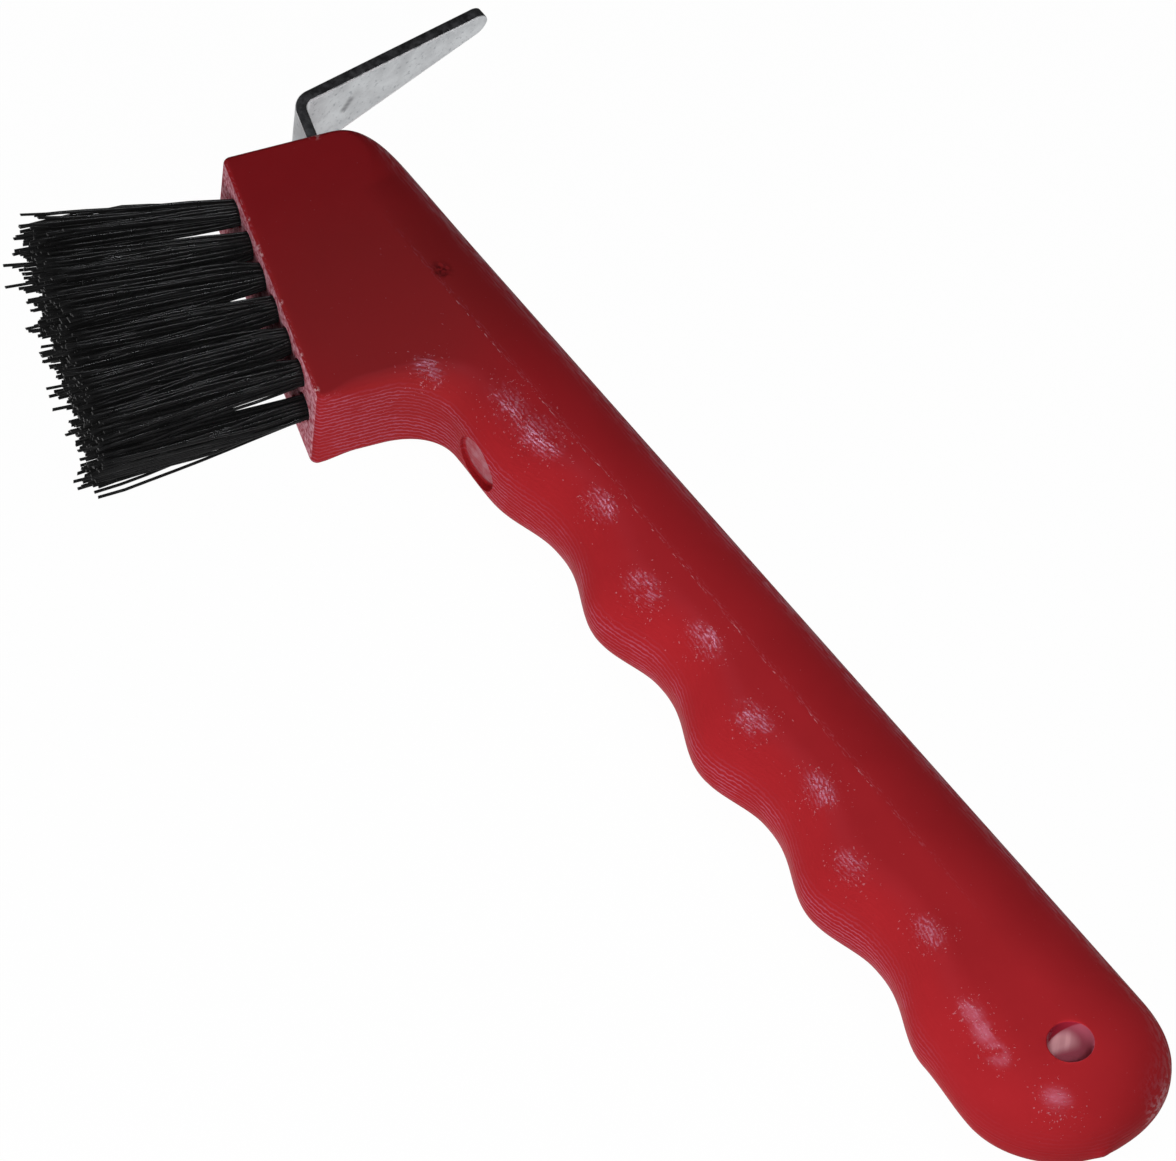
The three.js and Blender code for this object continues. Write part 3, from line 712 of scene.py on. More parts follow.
def patchy_gloss(place, count, line_noise, shine, back_gleam, cut_by_lines):
    """The specular level: dull skin, curled strokes in the patches, and a mottled gleam on the back."""
    broken = ramp(line_noise, 0.38, 0.55, 0.2, 1.0)
    curl = times(noise(place, 1900.0, 2.0, 0.6), 1.6)
    worms = times(maths("ADD", times(count, 1.45), curl), 2 * math.pi)
    strokes = times(ramp(maths("SINE", worms), -0.6, 0.5, 0.25, 1.0), broken)
    polished = times(most(strokes, ramp(cut_by_lines, 0.1, 0.9, 0.7, 0.0)), shine)
    polished = ramp(polished, 0.0, 1.0, SKIN_GLOSS, PATCH_GLOSS)
    return most(polished, ramp(back_gleam, 0.0, 1.0, SKIN_GLOSS, BACK_GLOSS))


print("glossier patches:", len(GRIP_SHINE))

# %% [markdown]
# ## Red plastic: scratches and specks
# Where the plastic is scratched, chipped or knocked it turns pale pink, because it whitens when it is
# bruised. So every kind of damage is a mask and a pink, and further down they are laid over the red one
# after another. The fine specks crowded round the glossy patches are no damage: they are painted glints,
# pale pink dots. Chips and specks also show in the relief.

# %% Scratches and specks
# The specks' pale pink is a painted glint.
CHIP_PINK, SCRATCH_PINK, SPECK_GLINT_PINK = (0.72, 0.36, 0.38), (0.60, 0.22, 0.28), (0.62, 0.26, 0.30)


def scratch_masks(place, blotches):
    """Masks of the chips and of the faint scratches on the worn edges."""
    worn = stored("wear")
    scratches = ramp(stretched_noise(place, (1100.0, 5200.0, 5200.0), 2.0, 0.65), 0.53, 0.6)
    chips = times(ramp(worn, 0.86, 0.99), blotches, scratches)
    return chips, times(ramp(worn, 0.1, 0.7), scratches, 0.16)


def glint_speck_mask(place, around):
    """Fine specks of painted glint, crowded round the patches."""
    crowded = times(around, 0.115)
    return ramp(maths("ADD", noise(place, 2300.0, 2.0, 0.7), crowded), 0.73, 0.78)


# %% [markdown]
# ## Red plastic: marks in single places
# A pin of the mould has left a dark dimple in the side face. The plastic is bruised where the strip enters
# the head, and nicked along the near edge of the brush face. Each is a soft ball round one point of the
# drawing, broken up by noise, so that it reads as damage and not as a dot.

# %% Pin mark, bruise and nicks
PIN_MARK, PIN_DARK = (22.45, -7.9, THICKNESS / 2), (0.06, 0.005, 0.007)
EDGE_NICKS = ((9.8, 0.5), (14.1, 0.45), (15.2, 0.6), (22.8, 0.5), (31.0, 0.35), (36.6, 0.7))
BRUISE_PINK, NICK_PINK = (0.66, 0.36, 0.36), (0.74, 0.42, 0.44)


def pin_masks(place, grain):
    """The pin's dimple, and the dark smear round it."""
    smear = times(closeness(place, PIN_MARK, 0.2, 2.0), ramp(grain, 0.4, 0.55), 0.8)
    return closeness(place, PIN_MARK, 0.5, 1.3), smear


def knock_masks(place, grain):
    """The bruise where the strip enters, and the nicks along the brush face."""
    entry = (*face_flat(0.15, -HOOK_CENTRE), THICKNESS / 2 - 0.2)
    bruise = times(closeness(place, entry, 0.4, 1.1), ramp(grain, 0.42, 0.55), 0.8)
    nicks = 0.0
    for along_face, size in EDGE_NICKS:
        edge = from_face(along_face, -0.15, THICKNESS / 2 - 0.2)
        nicks = most(nicks, closeness(place, edge, 0.2 * size, size))
    return bruise, times(nicks, ramp(noise(place, 2600.0, 2.0, 0.6), 0.46, 0.56))


print("nicks along the brush face:", len(EDGE_NICKS))

# %% [markdown]
# ## Red plastic: hanging hole, walls, gate and brush face
# The hole's wall is painted with light and shade: a pink that stands for light reflected inside it, a
# pale patch of painted light in an odd outline where light comes in, and painted shade in dark red above
# a slanting line, under the rim. The ridges of the cutter lines on the walls carry a painted pale sheen,
# for light that glances off them. The floor of the round recess is whitened where the runner was twisted
# off, and the brush face is drilled and rough, so it looks pink.

# %% Hole, walls, gate and brush face
# The wall of the hanging hole gets painted light and shade: a pink for reflected light, a pale patch and a
# dark shade.
BORE_DEEP, BORE_PAINTED_LIGHT, BORE_SHADED = (0.37, 0.075, 0.11), (0.80, 0.43, 0.46), (0.30, 0.014, 0.03)
BORE_SHADE_SLANT = Vector((0.90, 0.38, -1.0))
# The ridges' pink is a painted sheen, for light that glances off them.
RIDGE_SHEEN_PINK, GATE_PINK = (0.60, 0.24, 0.38), (0.50, 0.20, 0.23)
FACE_DEEP, FACE_PALE = (0.48, 0.075, 0.10), (0.85, 0.42, 0.48)


def place_on_axis(place):
    """The place moved to the height of the parting line, so that closeness measures from an axis."""
    parts = parts_of(place)
    links = {"X": parts["X"], "Y": parts["Y"], "Z": float(ORIGIN[2])}
    return node("ShaderNodeCombineXYZ", links).outputs["Vector"]


def bore_wall(place):
    """The mask of the hanging hole's wall, and its colour: pale painted light below a slanting line, and
    painted shade above it.
    """
    x, y, _ = hang_centre
    bore = closeness(place_on_axis(place), (x, y, 0.0), HANG_RADIUS + 0.03, HANG_RADIUS + 0.1)
    # A pale patch of painted light, where light comes into the hole, broken into streaks.
    light_streaks = ramp(stretched_noise(place, (900.0, 900.0, 60.0), 2.0, 0.6), 0.35, 0.6, 0.75, 1.0)
    light_spot = closeness(place, (x - HANG_RADIUS, y + 0.5, THICKNESS / 2 - 4.5), 1.2, 3.4)
    bore_red = blend(times(light_spot, light_streaks), BORE_DEEP, BORE_PAINTED_LIGHT)
    # Above a slanting line the wall turns dark red: painted shade under the rim.
    slanted = vector_maths("DOT_PRODUCT", place, BORE_SHADE_SLANT, "Value")
    start = BORE_SHADE_SLANT.dot(scene_point(x, y, THICKNESS / 2 + 0.25))
    lit = ramp(slanted, start - 0.2 * MM, start + 0.2 * MM)
    return bore, blend(lit, BORE_SHADED, bore_red)


def ridge_sheen_mask(wave, wall, backward, mottle, blotches):
    """A painted pale sheen on the ridges of the cutter lines, broken up on the back."""
    broken = ramp(times(backward, mottle), 0.0, 1.0, 0.6, 1.0)
    ridge_sheen = times(ramp(wave, 0.2, 0.9), broken, wall, ramp(blotches, 0.0, 1.0, 0.45, 1.0))
    return times(ridge_sheen, ramp(backward, 0.0, 1.0, 0.42, 0.5))


def gate_mask(place):
    """The whitened floor of the round recess."""
    torn = ramp(noise(place, 700.0, 3.0, 0.6), 0.35, 0.65, 0.4, 1.0)
    floor = closeness(place, (gate_x, gate_floor, 0.0), GATE_RADIUS - 0.5, GATE_RADIUS - 0.1)
    return times(floor, torn)


def drilled_face(place):
    """The brush face's mask, its grain and its pink."""
    outward = vector_maths("DOT_PRODUCT", place, Vector((*OUT_OF_FACE, 0.0)), "Value")
    face_place = float(scene_points([*face_flat(0, 0), 0.0])[:2] @ OUT_OF_FACE)
    drilled = ramp(outward, face_place - 0.12 * MM, face_place - 0.03 * MM)
    rough_grain = ramp(noise(place, 1500.0, 3.0, 0.65), 0.35, 0.65)
    return drilled, rough_grain, blend(rough_grain, FACE_DEEP, FACE_PALE)


# %% [markdown]
# ## Red plastic: put together
# The masks come first, then the gloss, the colours from the lowest to the highest, and the relief. The
# plain red is softly mottled, and darker on the head, which is painted shade. All of the relief is below a
# tenth of a millimetre except the pin's dimple, so bumps do it and no mesh has to carry it. The flash is
# the thin raised line where the mould's halves met.

# %% Red plastic
# The darker, duller red on the head is painted shade.
RED_DEEP, RED_LIGHT, RED_HEAD_SHADE = (0.385, 0.018, 0.0225), (0.415, 0.0195, 0.0245), (0.325, 0.024, 0.0255)
HEAD_SHADE_MIDDLE = (22.0, -18.0, 0.0)
FLASH_HALF = (0.04, 0.16)
SKIN_ROUGHNESS, FACE_ROUGHNESS, PATCH_SMOOTHER = (0.34, 0.40), 0.65, 0.05


def red_plastic():
    """The moulding's material."""
    made, shader = new_material("red_moulded_plastic", IOR=1.49, Specular_Tint=(1.0, 0.8, 1.15, 1.0))
    place = object_place()
    along, _, height = parts_of(place)
    backward, back_wall, steep, wall, curved, cut_by_lines = facing_masks(along)
    count, wave, line_noise = cutter_lines(place, along)
    shine, around = shoulder_patches(place)
    mottle = ramp(stretched_noise(place, (450.0, 1500.0, 1500.0), 2.0, 0.6), 0.47, 0.57)
    back_gleam = times(back_wall, mottle)
    gloss = patchy_gloss(place, count, line_noise, shine, back_gleam, cut_by_lines)

    grain = noise(place, 1500.0, 2.0, 0.6)
    blotches = ramp(noise(place, 190.0, 1.0), 0.38, 0.56)
    # Painted shade: the red darkens round a point of the head.
    head_shade = closeness(place_on_axis(place), HEAD_SHADE_MIDDLE, 7.0, 24.0)
    chips, scratches = scratch_masks(place, blotches)
    # Pale specks painted as glints, crowded round the glossy patches.
    glint_specks = glint_speck_mask(place, around)
    dimple, smear = pin_masks(place, grain)
    bruise, nicks = knock_masks(place, grain)
    bore, bore_red = bore_wall(place)
    ridge_sheen = ridge_sheen_mask(wave, wall, backward, mottle, blotches)
    drilled, rough_grain, face_pink = drilled_face(place)
    red = blend(ramp(noise(place, 90.0, 3.0, 0.55), 0.3, 0.7), RED_DEEP, RED_LIGHT)
    # Laid over the red in turn: painted shade on the head, chips, scratches, specks painted as glints, the
    # pin's smear, the bruise, the nicks, painted light and shade in the hole, a painted sheen on the
    # ridges, the gate and the brush face.
    for mask, colour in ((times(head_shade, 0.8), RED_HEAD_SHADE), (chips, CHIP_PINK), (scratches, SCRATCH_PINK),
                         (times(glint_specks, 0.5), SPECK_GLINT_PINK), (smear, PIN_DARK), (bruise, BRUISE_PINK),
                         (nicks, NICK_PINK), (bore, bore_red), (ridge_sheen, RIDGE_SHEEN_PINK),
                         (gate_mask(place), GATE_PINK), (drilled, face_pink)):
        red = blend(mask, red, colour)

    near_patch = times(ramp(around, 0.3, 0.8), curved)
    fine_share = ramp(near_patch, 0.0, 1.0, 0.3, 1.0)
    middle = maths("ABSOLUTE", maths("SUBTRACT", height, THICKNESS / 2 * MM))
    flash = ramp(middle, FLASH_HALF[0] * MM, FLASH_HALF[1] * MM, 1.0, 0.0)
    normal = bump(noise(place, 130.0, 2.0), 1.0, 0.04)
    for relief, depth in ((times(line_noise, near_patch, cut_by_lines), 0.05),
                          (times(noise(place, 2400.0, 2.0, 0.6), fine_share, curved), 0.02),
                          (times(rough_grain, drilled), 0.05),
                          (times(wave, steep, cut_by_lines), 0.012),
                          (flash, 0.03), (dimple, -0.22), (chips, -0.04), (glint_specks, 0.02)):
        normal = bump(relief, 1.0, depth, normal)

    dull = ramp(noise(place, 300.0, 3.0, 0.6), 0.3, 0.7, *SKIN_ROUGHNESS)
    dull = maths("SUBTRACT", dull, times(shine, PATCH_SMOOTHER))
    dull = most(dull, times(drilled, FACE_ROUGHNESS))
    connect(shader, Specular_IOR_Level=gloss, Base_Color=red, Normal=normal, Roughness=dull)
    return made


moulding.data.materials.clear()
moulding.data.materials.append(red_plastic())
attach(moulding, "root")
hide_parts("handle")
print("material:", moulding.data.materials[0].name)

# %% [markdown]
# ## The hook's strip
# The hook is 1.5 mm steel strip, sheared to a taper, bent once over a small radius and plated with zinc
# before it is moulded in. Shearing rolls one edge over and tears the other, so the narrow sides are rough
# and darker than the faces. The strip's section, with tiny rounded edges, is carried along its middle
# line, and the faces of the narrow sides get a material of their own.

# %% Path of the strip
STRIP_STEM, STRIP_BEND_RADIUS, HOOK_REACH, HOOK_TIP_RADIUS, STRIP_EDGE = 6.1, 2.2, 29.8, 2.1, 0.16
TANG_STEPS, BEND_STEPS, BLADE_STEPS, TIP_STEPS = 12, 26, 24, 14


def left_of(direction):
    """The direction turned a quarter to the left."""
    return np.array([-direction[1], direction[0]])


def strip_stations():
    """Middle, direction and half width along the strip, from inside the head to the tip."""
    stem, up, half = -ALONG_FACE, np.array([0.0, 1.0]), STRIP_WIDTH / 2
    turn = math.pi / 2 - HEAD_LEAN
    entry = face_flat(0, -HOOK_CENTRE)
    corner = entry + stem * STRIP_STEM
    tangent = STRIP_BEND_RADIUS * math.tan(turn / 2)
    bend_start = corner - stem * tangent
    centre = bend_start - left_of(stem) * STRIP_BEND_RADIUS
    stations = [(mix(entry - stem * STRIP_TANG, bend_start, t), stem, half)
                for t in np.linspace(0, 1, TANG_STEPS)[:-1]]
    for i in range(BEND_STEPS + 1):
        direction = unit(OUT_ANGLE - math.pi / 2 - turn * i / BEND_STEPS)
        stations.append((centre + left_of(direction) * STRIP_BEND_RADIUS, direction, half))
    blade_start, tip_centre = corner + up * tangent, corner + up * (HOOK_REACH - HOOK_TIP_RADIUS)
    for t in np.linspace(0, 1, BLADE_STEPS + 1)[1:-1]:
        stations.append((mix(blade_start, tip_centre, t), up, mix(half, HOOK_TIP_RADIUS, t)))
    for i in range(TIP_STEPS + 1):
        across, out = HOOK_TIP_RADIUS * unit(math.pi / 2 * i / (TIP_STEPS + 0.3))
        stations.append((tip_centre + up * out, up, across))
    return stations


strip = strip_stations()
print("strip stations:", len(strip), "tip at", np.round(strip[-1][0], 1))

# %% Skin the strip
EDGE_STEPS = 3


def strip_section(half):
    """Out and across for each point of the section."""
    thin, edge = STRIP_THICKNESS / 2, min(STRIP_EDGE, half / 2)
    points = []
    for sign_out, sign_across, start in ((1, 1, 0.0), (1, -1, -90.0), (-1, -1, 180.0), (-1, 1, 90.0)):
        centre = np.array([sign_out * (thin - edge), sign_across * (half - edge)])
        for step in range(EDGE_STEPS + 1):
            points.append(centre + edge * unit(math.radians(start + (90 - 90 * step / EDGE_STEPS))))
    return np.array(points)


def hook_piece():
    """The hook's strip as one mesh; its sheared sides get a second slot further down."""
    rings = []
    for middle, direction, half in strip:
        section = strip_section(half)
        flat = middle - np.outer(section[:, 0], left_of(direction))
        rings.append(np.column_stack([flat, section[:, 1]]))
    count = len(rings[0])
    faces = ring_faces(len(rings), count)
    return mesh_object("zinc_hook", scene_points(np.concatenate(rings)), faces), count


hook, section_count = hook_piece()
sharpen(hook, 40)
print("hook:", len(hook.data.polygons), "faces, section of", section_count, "points")

# %% [markdown]
# ## Zinc and sheared steel
# Dull zinc plating is pale grey with a faint blue cast and soft blotches where the bath has dried. It is
# a metal, so its colour is its reflection, and most of its look comes from roughness that changes from
# place to place. Its long edges carry a painted highlight, a thin near-white line that is hardly metal, and
# the blade has one dark smudge, made of three spots in a slanting row. The sheared sides are torn steel:
# darker and rougher.

# %% Zinc and steel
ZINC_DULL, ZINC_CLEAR, ZINC_GRAIN = (0.56, 0.575, 0.59), (0.67, 0.69, 0.705), (0.40, 0.42, 0.44)
# The near-white of the long edges is a painted highlight.
SMUDGE_GREY, EDGE_HIGHLIGHT_WHITE = (0.16, 0.16, 0.17), (0.92, 0.93, 0.94)
SMUDGE_UP, SMUDGE_STEP = 7.6, (0.4, 0.6)
SHEARED_DARK, SHEARED_LIGHT = (0.022, 0.0225, 0.024), (0.082, 0.082, 0.086)


def painted_edge_highlight(place, corner):
    """Where a highlight is painted along the strip's long edges, down to the tip of the blade."""
    _, upright, across = parts_of(place)
    across = maths("ABSOLUTE", maths("SUBTRACT", across, THICKNESS / 2 * MM))
    taper = {"Value": upright, "From Min": scene_point(0, corner[1], 0).y,
             "From Max": scene_point(0, corner[1] + HOOK_REACH - HOOK_TIP_RADIUS, 0).y,
             "To Min": STRIP_WIDTH / 2 * MM, "To Max": HOOK_TIP_RADIUS * MM}
    half = node("ShaderNodeMapRange", taper).outputs["Result"]
    edge = ramp(maths("SUBTRACT", across, half), -0.32 * MM, -0.16 * MM)
    return times(edge, ramp(noise(place, 500.0, 2.0, 0.6), 0.32, 0.45))


def zinc_plating():
    """The faces of the strip."""
    made, shader = new_material("dull_zinc_plating")
    place = object_place()
    blotches = ramp(noise(place, 260.0, 6.0, 0.7), 0.3, 0.7)
    grey = blend(blotches, ZINC_DULL, ZINC_CLEAR)
    grain = noise(place, 1500.0, 3.0, 0.6)
    grey = blend(ramp(grain, 0.56, 0.72), grey, ZINC_GRAIN)
    corner = face_flat(0, -HOOK_CENTRE) - ALONG_FACE * STRIP_STEM
    smudge = 0.0
    for step in (-1, 0, 1):
        up, over = SMUDGE_UP + SMUDGE_STEP[0] * step, SMUDGE_STEP[1] * step - 0.1
        spot = (corner[0] + STRIP_THICKNESS / 2, corner[1] + up, over)
        smudge = most(smudge, closeness(place, spot, 0.1, 0.95))
    grey = blend(times(smudge, 0.75), grey, SMUDGE_GREY)
    # A painted highlight: the long edges turn near-white and lose most of their metal.
    edge = painted_edge_highlight(place, corner)
    grey = blend(edge, grey, EDGE_HIGHLIGHT_WHITE)
    connect(shader, Base_Color=grey, Metallic=ramp(edge, 0.0, 1.0, 0.85, 0.15),
            Roughness=ramp(blotches, 0.0, 1.0, 0.48, 0.42),
            Normal=bump(grain, 0.4, 0.02, bump(blotches, 0.12, 0.03)))
    return made


def sheared_steel():
    """The narrow sides of the strip."""
    made, shader = new_material("sheared_steel", Metallic=0.7)
    tears = noise(object_place(), 900.0, 4.0, 0.7)
    dark = blend(ramp(tears, 0.35, 0.7), SHEARED_DARK, SHEARED_LIGHT)
    connect(shader, Base_Color=dark, Roughness=ramp(tears, 0.3, 0.7, 0.5, 0.68),
            Normal=bump(tears, 0.5, 0.04))
    return made


def paint_sheared_sides(piece):
    """Gives faces that look across the strip the second slot."""
    mesh, tip_start = piece.data, scene_point(0, strip[-TIP_STEPS - 1][0][1], 0)[1]
    for polygon in mesh.polygons:
        tip = polygon.center[1] > tip_start
        out, _, across = (abs(part) for part in polygon.normal)
        polygon.material_index = int(across > 0.72 or (tip and out < 0.5))
    return sum(polygon.material_index for polygon in mesh.polygons)


hook.data.materials.append(zinc_plating())
hook.data.materials.append(sheared_steel())
print("sheared faces:", paint_sheared_sides(hook))
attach(hook, "root")
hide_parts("hook")

# %% [markdown]
# ## The brush, filament by filament
# A brush like this is filled by machine: a bunch of black nylon filaments is folded in half, pressed
# into its hole with a short flat staple across the fold, and trimmed. The filaments leave the hole packed
# tight and spread on their way out. Hair particles would not export as a mesh, so each filament is a thin
# tube. Its path starts in the hole, leaves it square to the face and bends gently to a tip of its own.
# Neighbouring tufts close up at different heights, so each gap between them has a number of its own.
# Nothing keeps the tubes apart, so some of them pass through each other, and a few cut into a hole's rim.

# %% Filament roots in a hole
FILAMENT_RADIUS = 0.21
FILAMENTS_PER_TUFT = 50
PACKED_RADIUS = 1.5
rng = np.random.default_rng(7)


def packed_roots():
    """Places of the filaments in one hole, in millimetres: a spiral that gives each the same room."""
    i = np.arange(FILAMENTS_PER_TUFT) + 0.5
    golden_turn = math.pi * (3 - math.sqrt(5))
    reach = PACKED_RADIUS * np.sqrt(i / FILAMENTS_PER_TUFT)
    return np.column_stack([np.cos(i * golden_turn), np.sin(i * golden_turn)]) * reach[:, None]


roots = packed_roots()
print("filaments in a tuft:", len(roots), "in all:", len(roots) * sum(ROW_HOLES))

# %% Paths of the filaments
BRISTLE_LENGTH, TRIM_SLOPE = 26.1, 0.07
FAN_ALONG, FAN_ACROSS, FAN_SHIFT, TUFT_SPREAD = 1.19, 1.06, -1.0, 1.72
ROOT_DEPTH, PATH_STEPS = 7.6, 11
ROOT_JITTER, TIP_LEAN, BOW, RIPPLE = 0.02, 0.72, 0.26, 0.09
GAP_CALM, FLARE_EARLY, FLARE_LATE, FLARE_VARIES = 0.45, 0.14, 0.95, (0.8, 1.2)
STRAY_SHARE, STRAY_LEAN = 0.06, 1.7
RAGGED, OVERLONG, SHORT_SHARE, SHORT_BY = 0.75, 0.55, 0.15, 4.0
WIDEST_TIP, WIDEST_ALONG = 7.4, (-0.2, 35.9)
LONE_TIPS = ((0, 0, (-0.9, 26.2, 4.6)), (1, 1, (6.1, 30.3, 0.0)))
GAPS = (0.45, 2.2, 0.1, 0.4, 0.25, 0.1, 1.05, 0.5)
face_middle = FIRST_HOLE + TUFT_PITCH * (max(ROW_HOLES) - 1) / 2


def filament_paths(across, holes, first_gap):
    """Points of every filament of a row: filament, step, and along, out and across."""
    paths = []
    for gap, hole in enumerate(holes, first_gap):
        count = len(roots)
        root = roots + rng.normal(0, ROOT_JITTER, (count, 2))
        stray = rng.random(count) < STRAY_SHARE
        splay = (TUFT_SPREAD - 1) * roots
        lean = rng.normal(0, TIP_LEAN, (count, 2)) * np.where(stray, STRAY_LEAN, 1.0)[:, None]
        middle = face_middle + (hole - face_middle) * FAN_ALONG + FAN_SHIFT
        out = BRISTLE_LENGTH + TRIM_SLOPE * (middle - face_middle) + rng.normal(0, RAGGED, count)
        overlong = rng.exponential(OVERLONG, count)
        out += overlong - np.where(rng.random(count) < SHORT_SHARE, rng.uniform(0, SHORT_BY, count), 0)
        bow = rng.normal(0, BOW, (count, 2))
        ripple = rng.normal(0, RIPPLE, (count, 2))
        t = np.linspace(0, 1, PATH_STEPS)[None, :]
        reach = -ROOT_DEPTH + (out[:, None] + ROOT_DEPTH) * t
        share = np.clip(reach / out[:, None], 0, 1)
        late = np.where(root[:, :1] > 0, GAPS[gap + 1], GAPS[gap])
        lean[:, :1] *= 1 - GAP_CALM * np.clip(late, 0, 1)
        flare = share ** (mix(FLARE_EARLY, FLARE_LATE, late) * rng.uniform(*FLARE_VARIES, (count, 1)))
        swing, wave = np.sin(math.pi * share ** 0.8), np.sin(3 * math.pi * share)
        x = hole + root[:, :1] + splay[:, :1] * flare + (middle - hole + lean[:, :1]) * share
        z = across + root[:, 1:] + splay[:, 1:] * flare + (across * (FAN_ACROSS - 1) + lean[:, 1:]) * share
        x = np.clip(x + bow[:, :1] * swing + ripple[:, :1] * wave, *WIDEST_ALONG)
        z = np.clip(z + bow[:, 1:] * swing + ripple[:, 1:] * wave, -WIDEST_TIP, WIDEST_TIP)
        paths.append(np.stack([x, reach, z], axis=-1))
    return np.concatenate(paths)


row_paths = [filament_paths(across, holes, int(across < 0)) for across, holes in tuft_rows()]
for row, tuft, tip in LONE_TIPS:
    lone = row_paths[row][tuft * len(roots) + int(np.argmin(roots[:, 0]))]
    lone += np.clip(lone[:, 1:2] / lone[-1, 1], 0, 1) * (tip - lone[-1])
print("longest filament:", round(float(max(p[..., 1].max() for p in row_paths)), 1), "mm out of the face")

# %% [markdown]
# ## Tubes from paths
# Each tube has six sides, which is plenty at 0.42 mm. Its rings lie flat with the face, so no frame has
# to be carried along the path. The cut end is a face with a material of its own: the cutter leaves
# nylon ends matt and pale grey.

# %% Skin the filaments
TUBE_SIDES = 6


def tube_points(paths):
    """Ring points round every step of every path, in the drawing."""
    turn = 2 * math.pi * np.arange(TUBE_SIDES) / TUBE_SIDES
    phase = rng.uniform(0, 2 * math.pi, len(paths))[:, None, None]
    radius = FILAMENT_RADIUS * rng.uniform(0.9, 1.08, len(paths))[:, None, None]
    x = paths[..., 0, None] + radius * np.cos(turn + phase)
    z = paths[..., 2, None] + radius * np.sin(turn + phase)
    out = np.broadcast_to(paths[..., 1, None], x.shape).copy()
    tilt = rng.uniform(-0.5, 0.5, len(paths))[:, None]
    out[:, -1] += tilt * radius[:, 0] * np.cos(turn + phase[:, 0])
    return from_face(x, out, z).reshape(-1, 3)


def tuft_object(name, paths):
    """One row of tufts as a mesh."""
    per_tube = paths.shape[1] * TUBE_SIDES
    one = ring_faces(paths.shape[1], TUBE_SIDES)
    faces = [[corner + tube * per_tube for corner in face] for tube in range(len(paths)) for face in one]
    piece = mesh_object(name, scene_points(tube_points(paths)), faces)
    ends = [len(face) > 4 for face in one] * len(paths)
    piece.data.polygons.foreach_set("material_index", [int(end) for end in ends])
    for polygon, end in zip(piece.data.polygons, ends):
        polygon.use_smooth = not end
    return piece


# %% [markdown]
# ## Black nylon
# Nylon filament is black and shiny. In a photograph it is never quite black, because light is scattered
# inside the lens. A very small glow in the material stands for that; it isn't a property of nylon.

# %% Black nylon
NYLON_DARK, NYLON_LIGHT = (0.005, 0.005, 0.0053), (0.008, 0.0079, 0.008)
CUT_DARK, CUT_PALE = (0.03, 0.03, 0.031), (0.16, 0.155, 0.15)
LENS_GLARE = 0.0025


def black_nylon():
    """The sides of the filaments."""
    made, shader = new_material("black_nylon", Specular_IOR_Level=0.2, IOR=1.53,
                                Emission_Color=(1.0, 1.0, 1.0, 1.0), Emission_Strength=LENS_GLARE)
    place = object_place()
    streaks = noise(place, 700.0, 2.0, 0.5)
    connect(shader, Base_Color=blend(ramp(streaks, 0.35, 0.7), NYLON_DARK, NYLON_LIGHT),
            Roughness=ramp(streaks, 0.3, 0.7, 0.26, 0.42),
            Normal=bump(noise(place, 300.0, 1.0, 0.5), 1.0, 0.08))
    return made


def cut_nylon():
    """The trimmed ends."""
    made, shader = new_material("trimmed_nylon_end", Specular_IOR_Level=0.4)
    torn = noise(object_place(), 3000.0, 2.0, 0.6)
    connect(shader, Base_Color=blend(torn, CUT_DARK, CUT_PALE),
            Roughness=ramp(torn, 0.3, 0.7, 0.5, 0.75), Normal=bump(torn, 0.6, 0.03))
    return made


nylon, nylon_end = black_nylon(), cut_nylon()
for row_name, paths in zip(("near", "middle", "far"), row_paths):
    tufts = tuft_object(f"tufts_{row_name}", paths)
    tufts.data.materials.append(nylon)
    tufts.data.materials.append(nylon_end)
    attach(tufts, "root")
    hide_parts(f"bristle_row_{row_name}")
    print(tufts.name, len(tufts.data.polygons), "faces")

# %% [markdown]
# ## The staples
# The staples stay as they are in the solids: short cuts of flat wire, deep in the holes. They are hidden
# by the tufts, but they are part of the object, so they get a drawn-wire finish with lines along it.

# %% Staple wire
WIRE_DARK, WIRE_BRIGHT = (0.36, 0.35, 0.33), (0.55, 0.54, 0.51)


def staple_wire():
    """Drawn flat wire."""
    made, shader = new_material("drawn_staple_wire", Metallic=0.9)
    drawn = stretched_noise(object_place(), (300.0, 4000.0, 4000.0), 3.0, 0.6)
    connect(shader, Base_Color=blend(drawn, WIRE_DARK, WIRE_BRIGHT),
            Roughness=ramp(drawn, 0.3, 0.7, 0.32, 0.5), Normal=bump(drawn, 0.3, 0.01))
    return made


wire = staple_wire()
staples = [solid for name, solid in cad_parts.items() if name.startswith("anchor_")]
for staple in staples:
    staple.data.materials.clear()
    staple.data.materials.append(wire)
print("staples:", len(staples))

# %% [markdown]
# ## The table
# The pick lies on its side on a plain white table. White that fills the picture evenly can't come from
# the lamps, or they would bleach the object. So the table looks white by itself to the camera, and a
# share of its ordinary surface stays in the mix, to keep the object's soft shadow. Reflections don't see
# the table: the world stands for it there, which lets its brightness differ from side to side.

# %% Table
TABLE_HALF = 14.0
TABLE_GLOW, TABLE_WHITE = 0.5, 0.985
corners = [(TABLE_HALF * x, TABLE_HALF * y, 0) for x, y in ((-1, -1), (1, -1), (1, 1), (-1, 1))]
table = mesh_object("table", corners, [[0, 1, 2, 3]], False)


